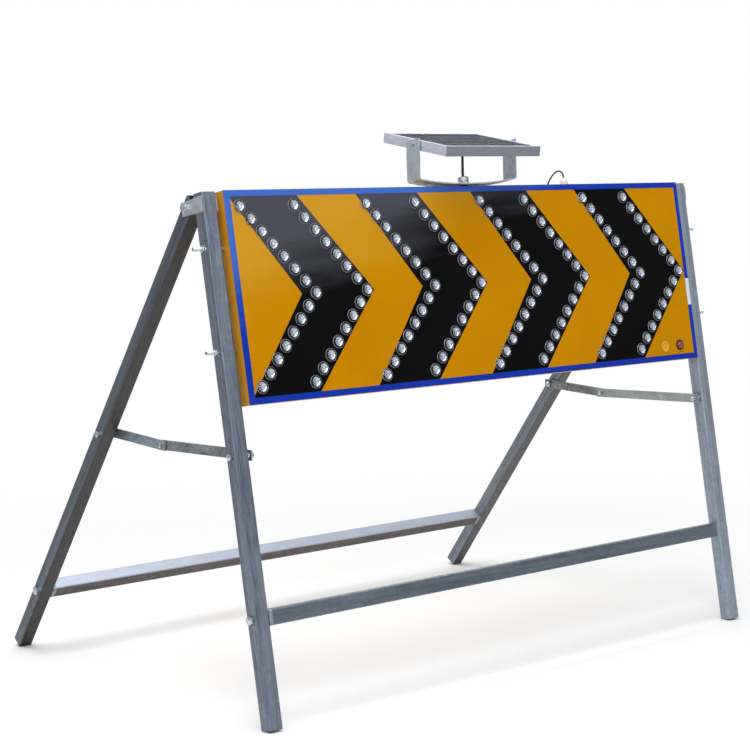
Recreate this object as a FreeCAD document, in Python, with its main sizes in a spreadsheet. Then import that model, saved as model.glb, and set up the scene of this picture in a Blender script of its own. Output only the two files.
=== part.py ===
# A portable chevron sign. A lit box stands between the front legs of a folding steel
# stand, and a small solar panel sits on a strap above it.

import FreeCAD, Part
import math
import os
import re
import Sketcher

V = FreeCAD.Vector

# Driving sizes, in millimetres and degrees
SIZES = {
    # How far a cut runs past the face that it starts from
    "past": 1,
    # Square steel tube of the stand
    "tube": 30,
    "tube_wall": 2,
    "tube_corner": 3,
    "front_leg_length": 1000,
    "rear_leg_length": 1250,
    "front_lean": 9,
    "leg_gap": 10,
    # Cross bars, and the plugs that their bolts screw into
    "front_crossbar_height": 206,
    "rear_crossbar_height": 172,
    "plug_flange": 8,
    "plug_depth": 20,
    "plug_slack": 0.2,
    "crossbar_bolt": 10,
    "crossbar_bolt_reach": 24,
    "crossbar_head": 17,
    "crossbar_head_height": 6.4,
    "bolt_slack": 0.4,
    # Hinge at the top, between cheeks that are welded to the front legs
    "hinge_below_front_top": 20,
    "hinge_below_rear_top": 17,
    "hinge_behind_front_leg": 25,
    "hinge_bolt": 10,
    "hinge_head": 17,
    "hinge_head_height": 6.4,
    "hinge_nut_height": 6,
    "hinge_thread_end": 3,
    "cheek_below_top": 9,
    "cheek_height": 27,
    "cheek_front": 2,
    "cheek_length": 67,
    "cheek_corner": 3,
    "cheek_plate": 3,
    "hinge_play": 0.4,
    "running_gap": 0.08,
    # Folding stays, two flat bars on each side
    "stay_below_box": 91,
    "stay_rise": 138,
    "stay_reach": 300,
    "stay_sag": 9,
    "stay_width": 20,
    "stay_thickness": 3,
    "stay_end": 15,
    "stay_tip": 10,
    "stay_bolt": 8,
    "stay_head": 13,
    "stay_head_height": 5.3,
    "stay_nut_height": 6.5,
    "stay_thread_end": 3,
    "stay_washer": 4.6,
    "stay_washer_across": 16,
    "stay_gap": 0.4,
    "stay_play": 0.1,
    "joint_bolt": 6,
    "joint_head": 10,
    "joint_head_height": 4,
    "joint_nut_height": 5,
    "joint_thread_end": 2.5,
    # Sign box
    "box_width": 1220,
    "box_height": 400,
    "box_depth": 55,
    "box_proud": 12,
    "box_wall": 1.5,
    "box_edge": 2,
    "back_flange": 16,
    "seal": 1,
    "seal_width": 12,
    "cover_inset": 1,
    "cover_screw": 4,
    "cover_screw_head": 8,
    "cover_screw_head_height": 2.4,
    "cover_screw_reach": 9,
    "box_bolt": 8,
    "box_bolt_spread": 192,
    "box_bolt_head": 13,
    "box_bolt_head_height": 5.3,
    "box_nut_height": 6.5,
    "box_bolt_end": 25,
    # Reflective films on the face
    "film": 0.4,
    "black_film": 0.3,
    "tape": 0.4,
    "tape_width": 12,
    "film_inset": 1,
    "patch": 0.2,
    "patch_length": 60,
    "patch_below_top": 219,
    "chevron_period": 295.4,
    "tip_from_side": 13.3,
    "band_at_edge": 153.5,
    "band_at_middle": 172.7,
    "chevron_point": 167.3,
    # Lights, fifteen in each line and two lines on each chevron
    "light": 26,
    "light_top": 16,
    "light_height": 5,
    "light_step_across": 21.4,
    "light_step_down": 24.15,
    "light_line_spacing": 123,
    "light_behind_tip": 17.1,
    "board_width": 24,
    "board": 1.6,
    "board_steps": 7.4,
    # Push button and blanking cap, low on the right
    "button_from_side": 55.6,
    "button_below_top": 367.8,
    "button_bezel": 24,
    "button_bezel_height": 2.5,
    "button_barrel": 19,
    "button_barrel_length": 20,
    "button": 15.4,
    "button_gap": 0.3,
    "button_proud": 2,
    "button_travel": 2.5,
    "button_stem": 8,
    "button_nut_height": 4,
    "cap_from_button": 46.6,
    "cap": 25,
    "cap_height": 1.2,
    "cap_plug": 18,
    "cap_plug_length": 6,
    # Battery and flasher board, held on the back cover
    "battery_length": 150,
    "battery_height": 66,
    "battery_thickness": 30,
    "battery_across": -120,
    "battery_below_top": 250,
    "clamp": 1.2,
    "clamp_width": 20,
    "clamp_foot": 14,
    "control_length": 90,
    "control_height": 60,
    "control_board": 1.6,
    "control_across": 60,
    "standoff": 7,
    "standoff_height": 6,
    "standoff_inset": 5,
    # Cable glands and the lead between them
    "gland_across": 287,
    "gland": 16,
    "gland_collar": 6,
    "gland_step": 1,
    "gland_dome": 12,
    "gland_mouth": 9,
    "gland_thread": 12,
    "gland_thread_length": 7,
    "gland_nut": 17,
    "gland_nut_height": 4,
    "rear_gland_across": 280,
    "rear_gland_below_top": 50,
    "link_lead": 3.5,
    # Hollow stud that carries the solar panel
    "stud": 12,
    "stud_bore": 7,
    "stud_inside": 14,
    "stud_end": 1,
    "stud_nut": 20,
    "stud_nut_height": 9.5,
    "lock_nut_height": 5.5,
    "inside_nut_height": 6,
    "rubber": 18,
    "rubber_height": 5,
    # Bent strap, bowed down between its two plumb arms
    "strap_width": 40,
    "strap": 3,
    "strap_span": 265,
    "strap_seat": 30,
    "strap_bow_radius": 700,
    "strap_bend": 4,
    "arm_rise": 68.5,
    "arm_above_pivot": 9,
    # Solar panel
    "panel_width": 253,
    "panel_depth": 202,
    "panel_height": 16,
    "panel_above_pivot": 10.5,
    "panel_tilt": 10,
    "panel_wall": 2,
    "panel_lip": 7,
    "panel_lip_height": 1.5,
    "panel_foot": 12,
    "laminate": 3.2,
    "laminate_slack": 0.3,
    "pivot_bolt": 5,
    "pivot_head": 8,
    "pivot_head_height": 3.5,
    "pivot_spacer": 10,
    "junction_length": 60,
    "junction_depth": 50,
    "junction_height": 11,
    "junction_wall": 1,
    "junction_slot": 10,
    "junction_slot_length": 30,
    "junction_slot_corner": 2.5,
    "panel_lead": 5.5,
}

# Sizes that follow from the driving ones
FORMULAS = {
    "leg_inner": "box_width/2 + leg_gap",
    "leg_outer": "leg_inner + tube",
    "leg_middle": "tube/2",
    "tube_inner_corner": "tube_corner - tube_wall",
    "foot_lift": "tube*sin(front_lean)",
    "box_low": "front_leg_length - box_height",
    "stay_front_height": "box_low - stay_below_box",
    "stay_rear_height": "stay_front_height + stay_rise",
    "hinge_up": "front_leg_length - hinge_below_front_top",
    "hinge_depth": "tube + hinge_behind_front_leg",
    "hinge_y": "hinge_up*sin(front_lean) + hinge_depth*cos(front_lean)",
    "hinge_z": "foot_lift + hinge_up*cos(front_lean) - hinge_depth*sin(front_lean)",
    "rear_hinge_up": "rear_leg_length - hinge_below_rear_top",
    "rear_lean": "atan2(leg_middle; rear_hinge_up) + acos(hinge_z/sqrt(rear_hinge_up^2 + leg_middle^2))",
    "rear_foot": "hinge_y + rear_hinge_up*sin(rear_lean) - leg_middle*cos(rear_lean)",
    "origin_back": "-(rear_foot + tube*cos(rear_lean))/2",
    "cheek_top": "front_leg_length - cheek_below_top",
    "cheek_face": "leg_outer + hinge_play + cheek_plate",
    "cheek_inner_face": "leg_inner - hinge_play - cheek_plate",
    "hinge_hole": "hinge_bolt + 2*running_gap",
    "stay_hole": "stay_bolt + 2*running_gap",
    "rear_link_outer": "leg_inner - stay_washer",
    "rear_link_inner": "rear_link_outer - stay_thickness",
    "front_link_outer": "rear_link_inner - stay_gap",
    "front_link_inner": "front_link_outer - stay_thickness",
    "front_pin_y": "origin_back + stay_front_height*sin(front_lean) + leg_middle*cos(front_lean)",
    "front_pin_z": "foot_lift + stay_front_height*cos(front_lean) - leg_middle*sin(front_lean)",
    "rear_pin_y": "origin_back + rear_foot - stay_rear_height*sin(rear_lean) + leg_middle*cos(rear_lean)",
    "rear_pin_z": "stay_rear_height*cos(rear_lean) + leg_middle*sin(rear_lean)",
    "pin_run": "sqrt((rear_pin_y - front_pin_y)^2 + (rear_pin_z - front_pin_z)^2)",
    "pin_slope": "atan2(rear_pin_z - front_pin_z; rear_pin_y - front_pin_y)",
    "front_link": "sqrt(stay_reach^2 + stay_sag^2)",
    "rear_link": "sqrt((pin_run - stay_reach)^2 + stay_sag^2)",
    "front_link_turn": "pin_slope - atan2(stay_sag; stay_reach)",
    "rear_link_turn": "180 deg + pin_slope + atan2(stay_sag; pin_run - stay_reach)",
    "box_half": "box_width/2",
    "box_top": "front_leg_length",
    "box_front": "-box_proud",
    "box_back": "box_depth - box_proud",
    "tray_back": "box_back - box_wall - seal",
    "cover_front": "box_back - box_wall",
    "box_middle": "(box_front + box_back)/2",
    "box_mid_up": "(box_top + box_low)/2",
    "film_face": "box_front - film",
    "black_face": "film_face - black_film",
    "tape_face": "film_face - tape",
    "tape_edge": "box_half - tape_width",
    "half_height": "box_height/2",
    "last_tip": "box_half - tip_from_side",
    "inner_point": "chevron_point - (band_at_middle - band_at_edge)",
    "button_across": "box_half - button_from_side",
    "cap_across": "button_across - cap_from_button",
    "button_up": "box_top - button_below_top",
    "screw_row": "half_height - box_wall - back_flange/2",
    "screw_column": "box_half - box_wall - back_flange/2",
    "battery_up": "box_top - battery_below_top",
    "strap_low": "box_top + rubber_height",
    "strap_top": "strap_low + strap",
    "stud_top": "strap_top + lock_nut_height + stud_nut_height + stud_end",
    "seat_half": "strap_seat/2",
    "arm_outer": "strap_span/2",
    "arm_inner": "arm_outer - strap",
    "bend_outer": "strap_bend + strap",
    "bend_across": "arm_outer - bend_outer",
    "bow_up": "strap_low + strap_bow_radius",
    "bend_up": "bow_up - sqrt((strap_bow_radius - bend_outer)^2 - (bend_across - seat_half)^2)",
    "bow_cos": "(bend_across - seat_half)/(strap_bow_radius - bend_outer)",
    "bow_sin": "(bow_up - bend_up)/(strap_bow_radius - bend_outer)",
    "pivot_up": "bend_up + arm_rise*cos(front_lean)",
    "pivot_depth": "box_middle - arm_rise*sin(front_lean)",
    "pivot_y": "origin_back + pivot_up*sin(front_lean) + pivot_depth*cos(front_lean)",
    "pivot_z": "foot_lift + pivot_up*cos(front_lean) - pivot_depth*sin(front_lean)",
    "panel_half": "panel_width/2",
    "panel_half_depth": "panel_depth/2",
    "panel_low": "panel_above_pivot - panel_height",
    "laminate_top": "panel_above_pivot - panel_lip_height",
    "laminate_low": "laminate_top - laminate",
    "junction_low": "laminate_low - junction_height",
}

# Where each group of pieces stands
FRONT = "placement(vector(0; origin_back; foot_lift); rotation(vector(1; 0; 0); -front_lean))"
REAR = "placement(vector(0; origin_back + rear_foot; 0); rotation(vector(1; 0; 0); rear_lean))"
FRONT_LINK = "placement(vector(0; front_pin_y; front_pin_z); rotation(vector(1; 0; 0); front_link_turn))"
REAR_LINK = "placement(vector(0; rear_pin_y; rear_pin_z); rotation(vector(1; 0; 0); rear_link_turn))"
PANEL = "placement(vector(0; pivot_y; pivot_z); rotation(vector(1; 0; 0); panel_tilt))"

doc = FreeCAD.newDocument("chevron_sign")
sheet = doc.addObject("Spreadsheet::Sheet", "Sizes")
for row, (name, content) in enumerate(list(SIZES.items()) + list(FORMULAS.items()), start=1):
    sheet.set(f"A{row}", name)
    sheet.set(f"B{row}", str(content) if name in SIZES else "=" + content)
    sheet.setAlias(f"B{row}", name)
doc.recompute()

NAMES = set(SIZES) | set(FORMULAS)
PLANES = {"X": ("YZ_Plane", 1), "Y": ("XZ_Plane", -1), "Z": ("XY_Plane", 1)}
SIDES = (("left", -1), ("right", 1))
TOUCH = 0.001
pieces = []


def named(text):
    """Writes an expression so that its size names point at the sheet."""
    def point(word):
        return "Sizes." + word.group() if word.group() in NAMES else word.group()
    return re.sub(r"[a-z_]+", point, text)


def value(text):
    """Works an expression out to a plain number."""
    result = sheet.evalExpression(named(text))
    return float(getattr(result, "Value", result))


def fix(sketch, edge, end, across, up):
    """Holds one end of an edge at a distance from the sketch's origin."""
    for kind, text in (("DistanceX", across), ("DistanceY", up)):
        number = sketch.addConstraint(Sketcher.Constraint(kind, -1, 1, edge, end, value(text)))
        sketch.setExpression(f"Constraints[{number}]", named(text))


def loop(*steps):
    """A closed outline. A step is a corner (across, up), or the end of an arc
    (across, up, radius, turn), where turn is 1 to the left and -1 to the right."""
    def draw(sketch):
        first = sketch.GeometryCount
        ends = [V(value(step[0]), value(step[1]), 0) for step in steps]
        heads = []
        for number, step in enumerate(steps):
            start, end = ends[number - 1], ends[number]
            if len(step) == 2:
                sketch.addGeometry(Part.LineSegment(start, end))
                heads.append(2)
                continue
            radius, turn = value(step[2]), step[3]
            chord = end - start
            left = V(-chord.y, chord.x, 0).normalize()
            rise = math.sqrt(max(radius ** 2 - chord.Length ** 2 / 4, 0))
            centre = (start + end) / 2 + left * (turn * rise)
            sketch.addGeometry(Part.Arc(start, centre - left * (turn * radius), end))
            heads.append(2 if turn > 0 else 1)
        for number, step in enumerate(steps):
            after = (number + 1) % len(steps)
            sketch.addConstraint(Sketcher.Constraint(
                "Coincident", first + number, heads[number], first + after, 3 - heads[after]))
            fix(sketch, first + number, heads[number], step[0], step[1])
            if len(step) == 4:
                held = sketch.addConstraint(Sketcher.Constraint("Radius", first + number, value(step[2])))
                sketch.setExpression(f"Constraints[{held}]", named(step[2]))
    return draw


def rectangle(left, low, right, high):
    """A rectangle between two corners."""
    return loop((left, low), (right, low), (right, high), (left, high))


def rounded(left, low, right, high, radius):
    """A rectangle with rounded corners."""
    return loop(
        (f"{right} - {radius}", low), (right, f"{low} + {radius}", radius, 1),
        (right, f"{high} - {radius}"), (f"{right} - {radius}", high, radius, 1),
        (f"{left} + {radius}", high), (left, f"{high} - {radius}", radius, 1),
        (left, f"{low} + {radius}"), (f"{left} + {radius}", low, radius, 1))


def hexagon(across, up, flats):
    """A hexagon about a centre, given across its flats."""
    point, half = f"{flats}/sqrt(3)", f"{flats}/2"
    corners = ((1, 0), (0.5, 1), (-0.5, 1), (-1, 0), (-0.5, -1), (0.5, -1))
    return loop(*((f"{across} + {a}*{point}", f"{up} + {b}*{half}") for a, b in corners))


def circle(across, up, diameter):
    """A round outline or hole."""
    def draw(sketch):
        centre = V(value(across), value(up), 0)
        edge = sketch.addGeometry(Part.Circle(centre, V(0, 0, 1), value(diameter) / 2))
        fix(sketch, edge, 3, across, up)
        held = sketch.addConstraint(Sketcher.Constraint("Diameter", edge, value(diameter)))
        sketch.setExpression(f"Constraints[{held}]", named(diameter))
    return draw


def plane_of(body, axis):
    """The body's origin plane that looks along an axis."""
    return next(item for item in body.Origin.OriginFeatures if item.Role == PLANES[axis][0])


def new_piece(label, place):
    """An empty body, placed with its group."""
    body = doc.addObject("PartDesign::Body", label)
    body.Label = label
    body.AllowCompound = True
    body.setExpression("Placement", named(place))
    pieces.append(body)
    return body


def extrude(body, kind, axis, start, end, *figures):
    """Pads or pockets outlines along an axis, from one distance to another."""
    facing = PLANES[axis][1]
    sketch = body.newObject("Sketcher::SketchObject", "outline")
    sketch.AttachmentSupport = (plane_of(body, axis), [""])
    sketch.MapMode = "FlatFace"
    sketch.setExpression("AttachmentOffset.Base.z", named(f"({start})*{facing}"))
    for figure in figures:
        figure(sketch)
    feature = body.newObject("PartDesign::" + kind, kind.lower())
    feature.Profile = sketch
    feature.setExpression("Length", named(f"({end}) - ({start})"))
    feature.Reversed = (facing < 0) != (kind == "Pocket")
    return feature


def mirror(body):
    """Adds the same again on the sign's other side."""
    feature = body.newObject("PartDesign::Mirrored", "both_sides")
    feature.MirrorPlane = (plane_of(body, "X"), [""])
    feature.TransformMode = "Whole shape"
    body.Tip = feature


def leg(label, place, side, length, holes):
    """A square tube, open at both ends, with its cross holes."""
    body = new_piece(label, place)
    inner, outer = ("leg_inner", "leg_outer") if side > 0 else ("-leg_outer", "-leg_inner")
    extrude(body, "Pad", "Z", "0", length,
            rounded(inner, "0", outer, "tube", "tube_corner"),
            rounded(f"{inner} + tube_wall", "tube_wall", f"{outer} - tube_wall", "tube - tube_wall",
                    "tube_inner_corner"))
    extrude(body, "Pocket", "X", f"{inner} - tube_wall", f"{outer} + tube_wall",
            *(circle("leg_middle", height, bore) for height, bore in holes))


def crossbar(label, place, height):
    """A square tube between the legs, open at both ends for its plugs."""
    body = new_piece(label, place)
    extrude(body, "Pad", "X", "plug_flange - leg_inner", "leg_inner - plug_flange",
            rounded("0", f"{height} - leg_middle", "tube", f"{height} + leg_middle", "tube_corner"),
            rounded("tube_wall", f"{height} - leg_middle + tube_wall", "tube - tube_wall",
                    f"{height} + leg_middle - tube_wall", "tube_inner_corner"))


def crossbar_plugs(label, place, height):
    """End plugs, each a flange as wide as the tube and a spigot inside it."""
    body = new_piece(label, place)
    inset = "(tube_wall + plug_slack)"
    extrude(body, "Pad", "X", "leg_inner - plug_flange", "leg_inner",
            rounded("0", f"{height} - leg_middle", "tube", f"{height} + leg_middle", "tube_corner"))
    extrude(body, "Pad", "X", "leg_inner - plug_flange - plug_depth", "leg_inner - plug_flange",
            rounded(inset, f"{height} - leg_middle + {inset}", f"tube - {inset}",
                    f"{height} + leg_middle - {inset}", "tube_inner_corner"))
    extrude(body, "Pocket", "X", "leg_inner - plug_flange - plug_depth - past", "leg_inner + past",
            circle("leg_middle", height, "crossbar_bolt"))
    mirror(body)


def crossbar_bolts(label, place, height):
    """Hex bolts through the legs into the plugs."""
    body = new_piece(label, place)
    extrude(body, "Pad", "X", "leg_outer", "leg_outer + crossbar_head_height",
            hexagon("leg_middle", height, "crossbar_head"))
    extrude(body, "Pad", "X", "leg_inner - crossbar_bolt_reach", "leg_outer",
            circle("leg_middle", height, "crossbar_bolt"))
    mirror(body)


# Front frame
box_bolt_heights = ("box_mid_up - box_bolt_spread/2", "box_mid_up + box_bolt_spread/2")
front_holes = [("front_crossbar_height", "crossbar_bolt + bolt_slack"),
               ("stay_front_height", "stay_bolt + bolt_slack")]
front_holes += [(height, "box_bolt + bolt_slack") for height in box_bolt_heights]
for side_name, side in SIDES:
    leg(f"front_leg_{side_name}", FRONT, side, "front_leg_length", front_holes)
crossbar("front_crossbar", FRONT, "front_crossbar_height")
crossbar_plugs("front_crossbar_plugs", FRONT, "front_crossbar_height")
crossbar_bolts("front_crossbar_bolts", FRONT, "front_crossbar_height")

# Rear frame
rear_holes = [("rear_crossbar_height", "crossbar_bolt + bolt_slack"),
              ("stay_rear_height", "stay_bolt + bolt_slack"), ("rear_hinge_up", "hinge_hole")]
for side_name, side in SIDES:
    leg(f"rear_leg_{side_name}", REAR, side, "rear_leg_length", rear_holes)
crossbar("rear_crossbar", REAR, "rear_crossbar_height")
crossbar_plugs("rear_crossbar_plugs", REAR, "rear_crossbar_height")
crossbar_bolts("rear_crossbar_bolts", REAR, "rear_crossbar_height")

# Hinge cheeks, relieved by the play where the rear leg swings between them
cheeks = new_piece("hinge_cheeks", FRONT)
cheek_low = "cheek_top - cheek_height"
cheek_end = "cheek_front + cheek_length"
for low_side, high_side in (("leg_outer", "cheek_face"), ("cheek_inner_face", "leg_inner")):
    extrude(cheeks, "Pad", "X", low_side, high_side,
            loop(("cheek_front", "cheek_top"), ("cheek_front", cheek_low),
                 (f"{cheek_end} - cheek_corner", cheek_low),
                 (cheek_end, f"{cheek_low} + cheek_corner", "cheek_corner", 1),
                 (cheek_end, "cheek_top - cheek_corner"),
                 (f"{cheek_end} - cheek_corner", "cheek_top", "cheek_corner", 1)))
extrude(cheeks, "Pocket", "X", "leg_inner - hinge_play", "leg_outer + hinge_play",
        rectangle("tube + hinge_play", f"{cheek_low} - past", f"{cheek_end} + past", "cheek_top + past"))
extrude(cheeks, "Pocket", "X", "cheek_inner_face - past", "cheek_face + past",
        circle("hinge_depth", "hinge_up", "hinge_bolt + bolt_slack"))
mirror(cheeks)

# Hinge bolts and their nuts
hinge_bolts = new_piece("hinge_bolts", FRONT)
extrude(hinge_bolts, "Pad", "X", "cheek_face", "cheek_face + hinge_head_height",
        hexagon("hinge_depth", "hinge_up", "hinge_head"))
extrude(hinge_bolts, "Pad", "X", "cheek_inner_face - hinge_nut_height - hinge_thread_end", "cheek_face",
        circle("hinge_depth", "hinge_up", "hinge_bolt"))
mirror(hinge_bolts)
hinge_nuts = new_piece("hinge_nuts", FRONT)
extrude(hinge_nuts, "Pad", "X", "cheek_inner_face - hinge_nut_height", "cheek_inner_face",
        hexagon("hinge_depth", "hinge_up", "hinge_head"), circle("hinge_depth", "hinge_up", "hinge_bolt"))
mirror(hinge_nuts)


def stay_pins(end, place, height, link_inner, link_outer):
    """The bolts, spacers and nuts on which a pair of stay bars turns."""
    nut_face = f"{link_inner} - stay_play"
    bolts = new_piece(f"stay_{end}_bolts", place)
    extrude(bolts, "Pad", "X", "leg_outer", "leg_outer + stay_head_height",
            hexagon("leg_middle", height, "stay_head"))
    extrude(bolts, "Pad", "X", f"{nut_face} - stay_nut_height - stay_thread_end", "leg_outer",
            circle("leg_middle", height, "stay_bolt"))
    mirror(bolts)
    spacers = new_piece(f"stay_{end}_spacers", place)
    extrude(spacers, "Pad", "X", f"{link_outer} + stay_play", "leg_inner",
            circle("leg_middle", height, "stay_washer_across"),
            circle("leg_middle", height, "stay_bolt + bolt_slack"))
    mirror(spacers)
    nuts = new_piece(f"stay_{end}_nuts", place)
    extrude(nuts, "Pad", "X", f"{nut_face} - stay_nut_height", nut_face,
            hexagon("leg_middle", height, "stay_head"), circle("leg_middle", height, "stay_bolt"))
    mirror(nuts)


# Folding stays. Each mid joint is open: its bolt head stays with the rear bar and its
# nut and thread end with the front bar, and the two bars lie in layers of their own.
stay_pins("front", FRONT, "stay_front_height", "front_link_inner", "front_link_outer")
stay_pins("rear", REAR, "stay_rear_height", "rear_link_inner", "rear_link_outer")
for side_name, side in SIDES:
    for end, place, length, tip, inner, outer in (
            ("front", FRONT_LINK, "front_link", "stay_tip", "front_link_inner", "front_link_outer"),
            ("rear", REAR_LINK, "rear_link", "stay_end", "rear_link_inner", "rear_link_outer")):
        low_side, high_side = (inner, outer) if side > 0 else (f"-{outer}", f"-{inner}")
        bar = new_piece(f"stay_{end}_link_{side_name}", place)
        extrude(bar, "Pad", "X", low_side, high_side,
                rectangle(f"-{tip}", "-stay_width/2", f"{length} + stay_end", "stay_width/2"))
        extrude(bar, "Pocket", "X", f"{low_side} - past", f"{high_side} + past",
                circle("0", "0", "stay_hole"), circle(length, "0", "joint_bolt + running_gap"))
        half = new_piece(f"stay_joint_{'nut' if end == 'front' else 'bolt'}_{side_name}", place)
        if end == "front":
            stub = ("front_link_inner - joint_nut_height - joint_thread_end", "front_link_outer")
            hexed = ("front_link_inner - joint_nut_height", "front_link_inner")
        else:
            stub = ("rear_link_inner", "rear_link_outer")
            hexed = ("rear_link_outer", "rear_link_outer + joint_head_height")
        if side < 0:
            stub, hexed = ((f"-({high})", f"-({low})") for low, high in (stub, hexed))
        extrude(half, "Pad", "X", *stub, circle(length, "0", "joint_bolt"))
        extrude(half, "Pad", "X", *hexed, hexagon(length, "0", "joint_head"))

# Sign box. The tray's four sides return inwards at the back, and the cover lies on a seal.
button_hole = circle("button_across", "button_up", "button_barrel + bolt_slack")
cap_hole = circle("cap_across", "button_up", "cap_plug + bolt_slack")
tray = new_piece("sign_tray", FRONT)
extrude(tray, "Pad", "Y", "box_front", "tray_back", rectangle("-box_half", "box_low", "box_half", "box_top"))
doc.recompute()
blank = tray.Tip
front_edges = [f"Edge{number}" for number, edge in enumerate(blank.Shape.Edges, start=1)
               if all(abs(vertex.Y - value("box_front")) < TOUCH for vertex in edge.Vertexes)]
rim = tray.newObject("PartDesign::Fillet", "rim")
rim.Base = (blank, front_edges)
rim.setExpression("Radius", named("box_edge"))
extrude(tray, "Pocket", "Y", "box_front + box_wall", "tray_back - box_wall",
        rectangle("box_wall - box_half", "box_low + box_wall", "box_half - box_wall", "box_top - box_wall"))
extrude(tray, "Pocket", "Y", "tray_back - box_wall - past", "tray_back + past",
        rectangle("box_wall + back_flange - box_half", "box_low + box_wall + back_flange",
                  "box_half - box_wall - back_flange", "box_top - box_wall - back_flange"))
for low_side, high_side in (("box_half - box_wall - past", "box_half + past"),
                            ("-box_half - past", "box_wall + past - box_half")):
    extrude(tray, "Pocket", "X", low_side, high_side,
            *(circle("leg_middle", height, "box_bolt + bolt_slack") for height in box_bolt_heights))
extrude(tray, "Pocket", "Z", "box_top - box_wall - past", "box_top + past",
        circle("0", "box_middle", "stud + bolt_slack"),
        circle("gland_across", "box_middle", "gland_thread + bolt_slack"))
extrude(tray, "Pocket", "Y", "box_front - past", "box_front + box_wall + past", button_hole, cap_hole)

# Back cover, its seal and screws
screw_places = [(f"{step}*screw_column/2", f"box_mid_up + {row}*screw_row")
                for step in (-2, -1, 0, 1, 2) for row in (-1, 1)]
screw_places += [(f"{side}*screw_column", "box_mid_up") for _, side in SIDES]
screw_holes = [circle(across, up, "cover_screw + bolt_slack") for across, up in screw_places]
extrude(tray, "Pocket", "Y", "tray_back - box_wall - past", "tray_back + past", *screw_holes)
cover = new_piece("rear_cover", FRONT)
extrude(cover, "Pad", "Y", "cover_front", "box_back",
        rectangle("cover_inset - box_half", "box_low + cover_inset",
                  "box_half - cover_inset", "box_top - cover_inset"),
        circle("rear_gland_across", "box_top - rear_gland_below_top", "gland_thread + bolt_slack"),
        *screw_holes)
seal = new_piece("cover_seal", FRONT)
extrude(seal, "Pad", "Y", "tray_back", "cover_front",
        rectangle("cover_inset - box_half", "box_low + cover_inset",
                  "box_half - cover_inset", "box_top - cover_inset"),
        rectangle("cover_inset + seal_width - box_half", "box_low + cover_inset + seal_width",
                  "box_half - cover_inset - seal_width", "box_top - cover_inset - seal_width"),
        *screw_holes)
screws = new_piece("cover_screws", FRONT)
extrude(screws, "Pad", "Y", "box_back", "box_back + cover_screw_head_height",
        *(circle(across, up, "cover_screw_head") for across, up in screw_places))
extrude(screws, "Pad", "Y", "box_back - cover_screw_reach", "box_back",
        *(circle(across, up, "cover_screw") for across, up in screw_places))

# Bolts that hang the box between the legs
box_bolts = new_piece("box_bolts", FRONT)
extrude(box_bolts, "Pad", "X", "box_half - box_wall - box_bolt_head_height", "box_half - box_wall",
        *(hexagon("leg_middle", height, "box_bolt_head") for height in box_bolt_heights))
extrude(box_bolts, "Pad", "X", "box_half - box_wall", "leg_outer + box_bolt_end",
        *(circle("leg_middle", height, "box_bolt") for height in box_bolt_heights))
mirror(box_bolts)
box_nuts = new_piece("box_nuts", FRONT)
for low_side, high_side in (("box_half", "leg_inner"), ("leg_outer", "leg_outer + box_nut_height")):
    for height in box_bolt_heights:
        extrude(box_nuts, "Pad", "X", low_side, high_side,
                hexagon("leg_middle", height, "box_bolt_head"), circle("leg_middle", height, "box_bolt"))
mirror(box_nuts)

# Films on the face: yellow over all of it, black chevrons, blue tape round the edge
yellow = new_piece("yellow_film", FRONT)
extrude(yellow, "Pad", "Y", "film_face", "box_front",
        rectangle("film_inset + box_edge - box_half", "box_low + film_inset + box_edge",
                  "box_half - film_inset - box_edge", "box_top - film_inset - box_edge"),
        button_hole, cap_hole)
film_low = "(box_low + tape_width)"
film_high = "(box_top - tape_width)"
band_half = "(half_height - tape_width)"
CHEVRONS = 4


def chevron_tip(number):
    """A chevron's tip, counted from the left."""
    return f"(last_tip - {CHEVRONS - 1 - number}*chevron_period)"


chevrons = new_piece("black_chevrons", FRONT)
for number in range(CHEVRONS):
    tip = chevron_tip(number)
    notch = f"({tip} - band_at_middle)"
    outer_end = f"{tip} - chevron_point*{band_half}/half_height"
    inner_end = f"{notch} - inner_point*{band_half}/half_height"
    if number:
        band = loop((outer_end, film_low), (tip, "box_mid_up"), (outer_end, film_high),
                    (inner_end, film_high), (notch, "box_mid_up"), (inner_end, film_low))
    else:
        cut = f"half_height*({notch} + tape_edge)/inner_point"
        band = loop((outer_end, film_low), (tip, "box_mid_up"), (outer_end, film_high),
                    ("-tape_edge", film_high), ("-tape_edge", f"box_mid_up + {cut}"), (notch, "box_mid_up"),
                    ("-tape_edge", f"box_mid_up - {cut}"), ("-tape_edge", film_low))
    extrude(chevrons, "Pad", "Y", "black_face", "film_face", band)
tape = new_piece("blue_edge_tape", FRONT)
extrude(tape, "Pad", "Y", "tape_face", "film_face",
        rectangle("film_inset + box_edge - box_half", "box_low + film_inset + box_edge",
                  "box_half - film_inset - box_edge", "box_top - film_inset - box_edge"),
        rectangle("-tape_edge", film_low, "tape_edge", film_high))
patch = new_piece("white_patch", FRONT)
extrude(patch, "Pad", "Y", "tape_face - patch", "tape_face",
        rectangle("tape_edge", "box_top - patch_below_top - patch_length",
                  "box_half - film_inset - box_edge", "box_top - patch_below_top"))


def light_lines():
    """The middle of each line of lights, from left to right."""
    for number in range(CHEVRONS):
        for line in (1, 0):
            yield f"({chevron_tip(number)} - light_behind_tip - {line}*light_line_spacing)"


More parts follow.
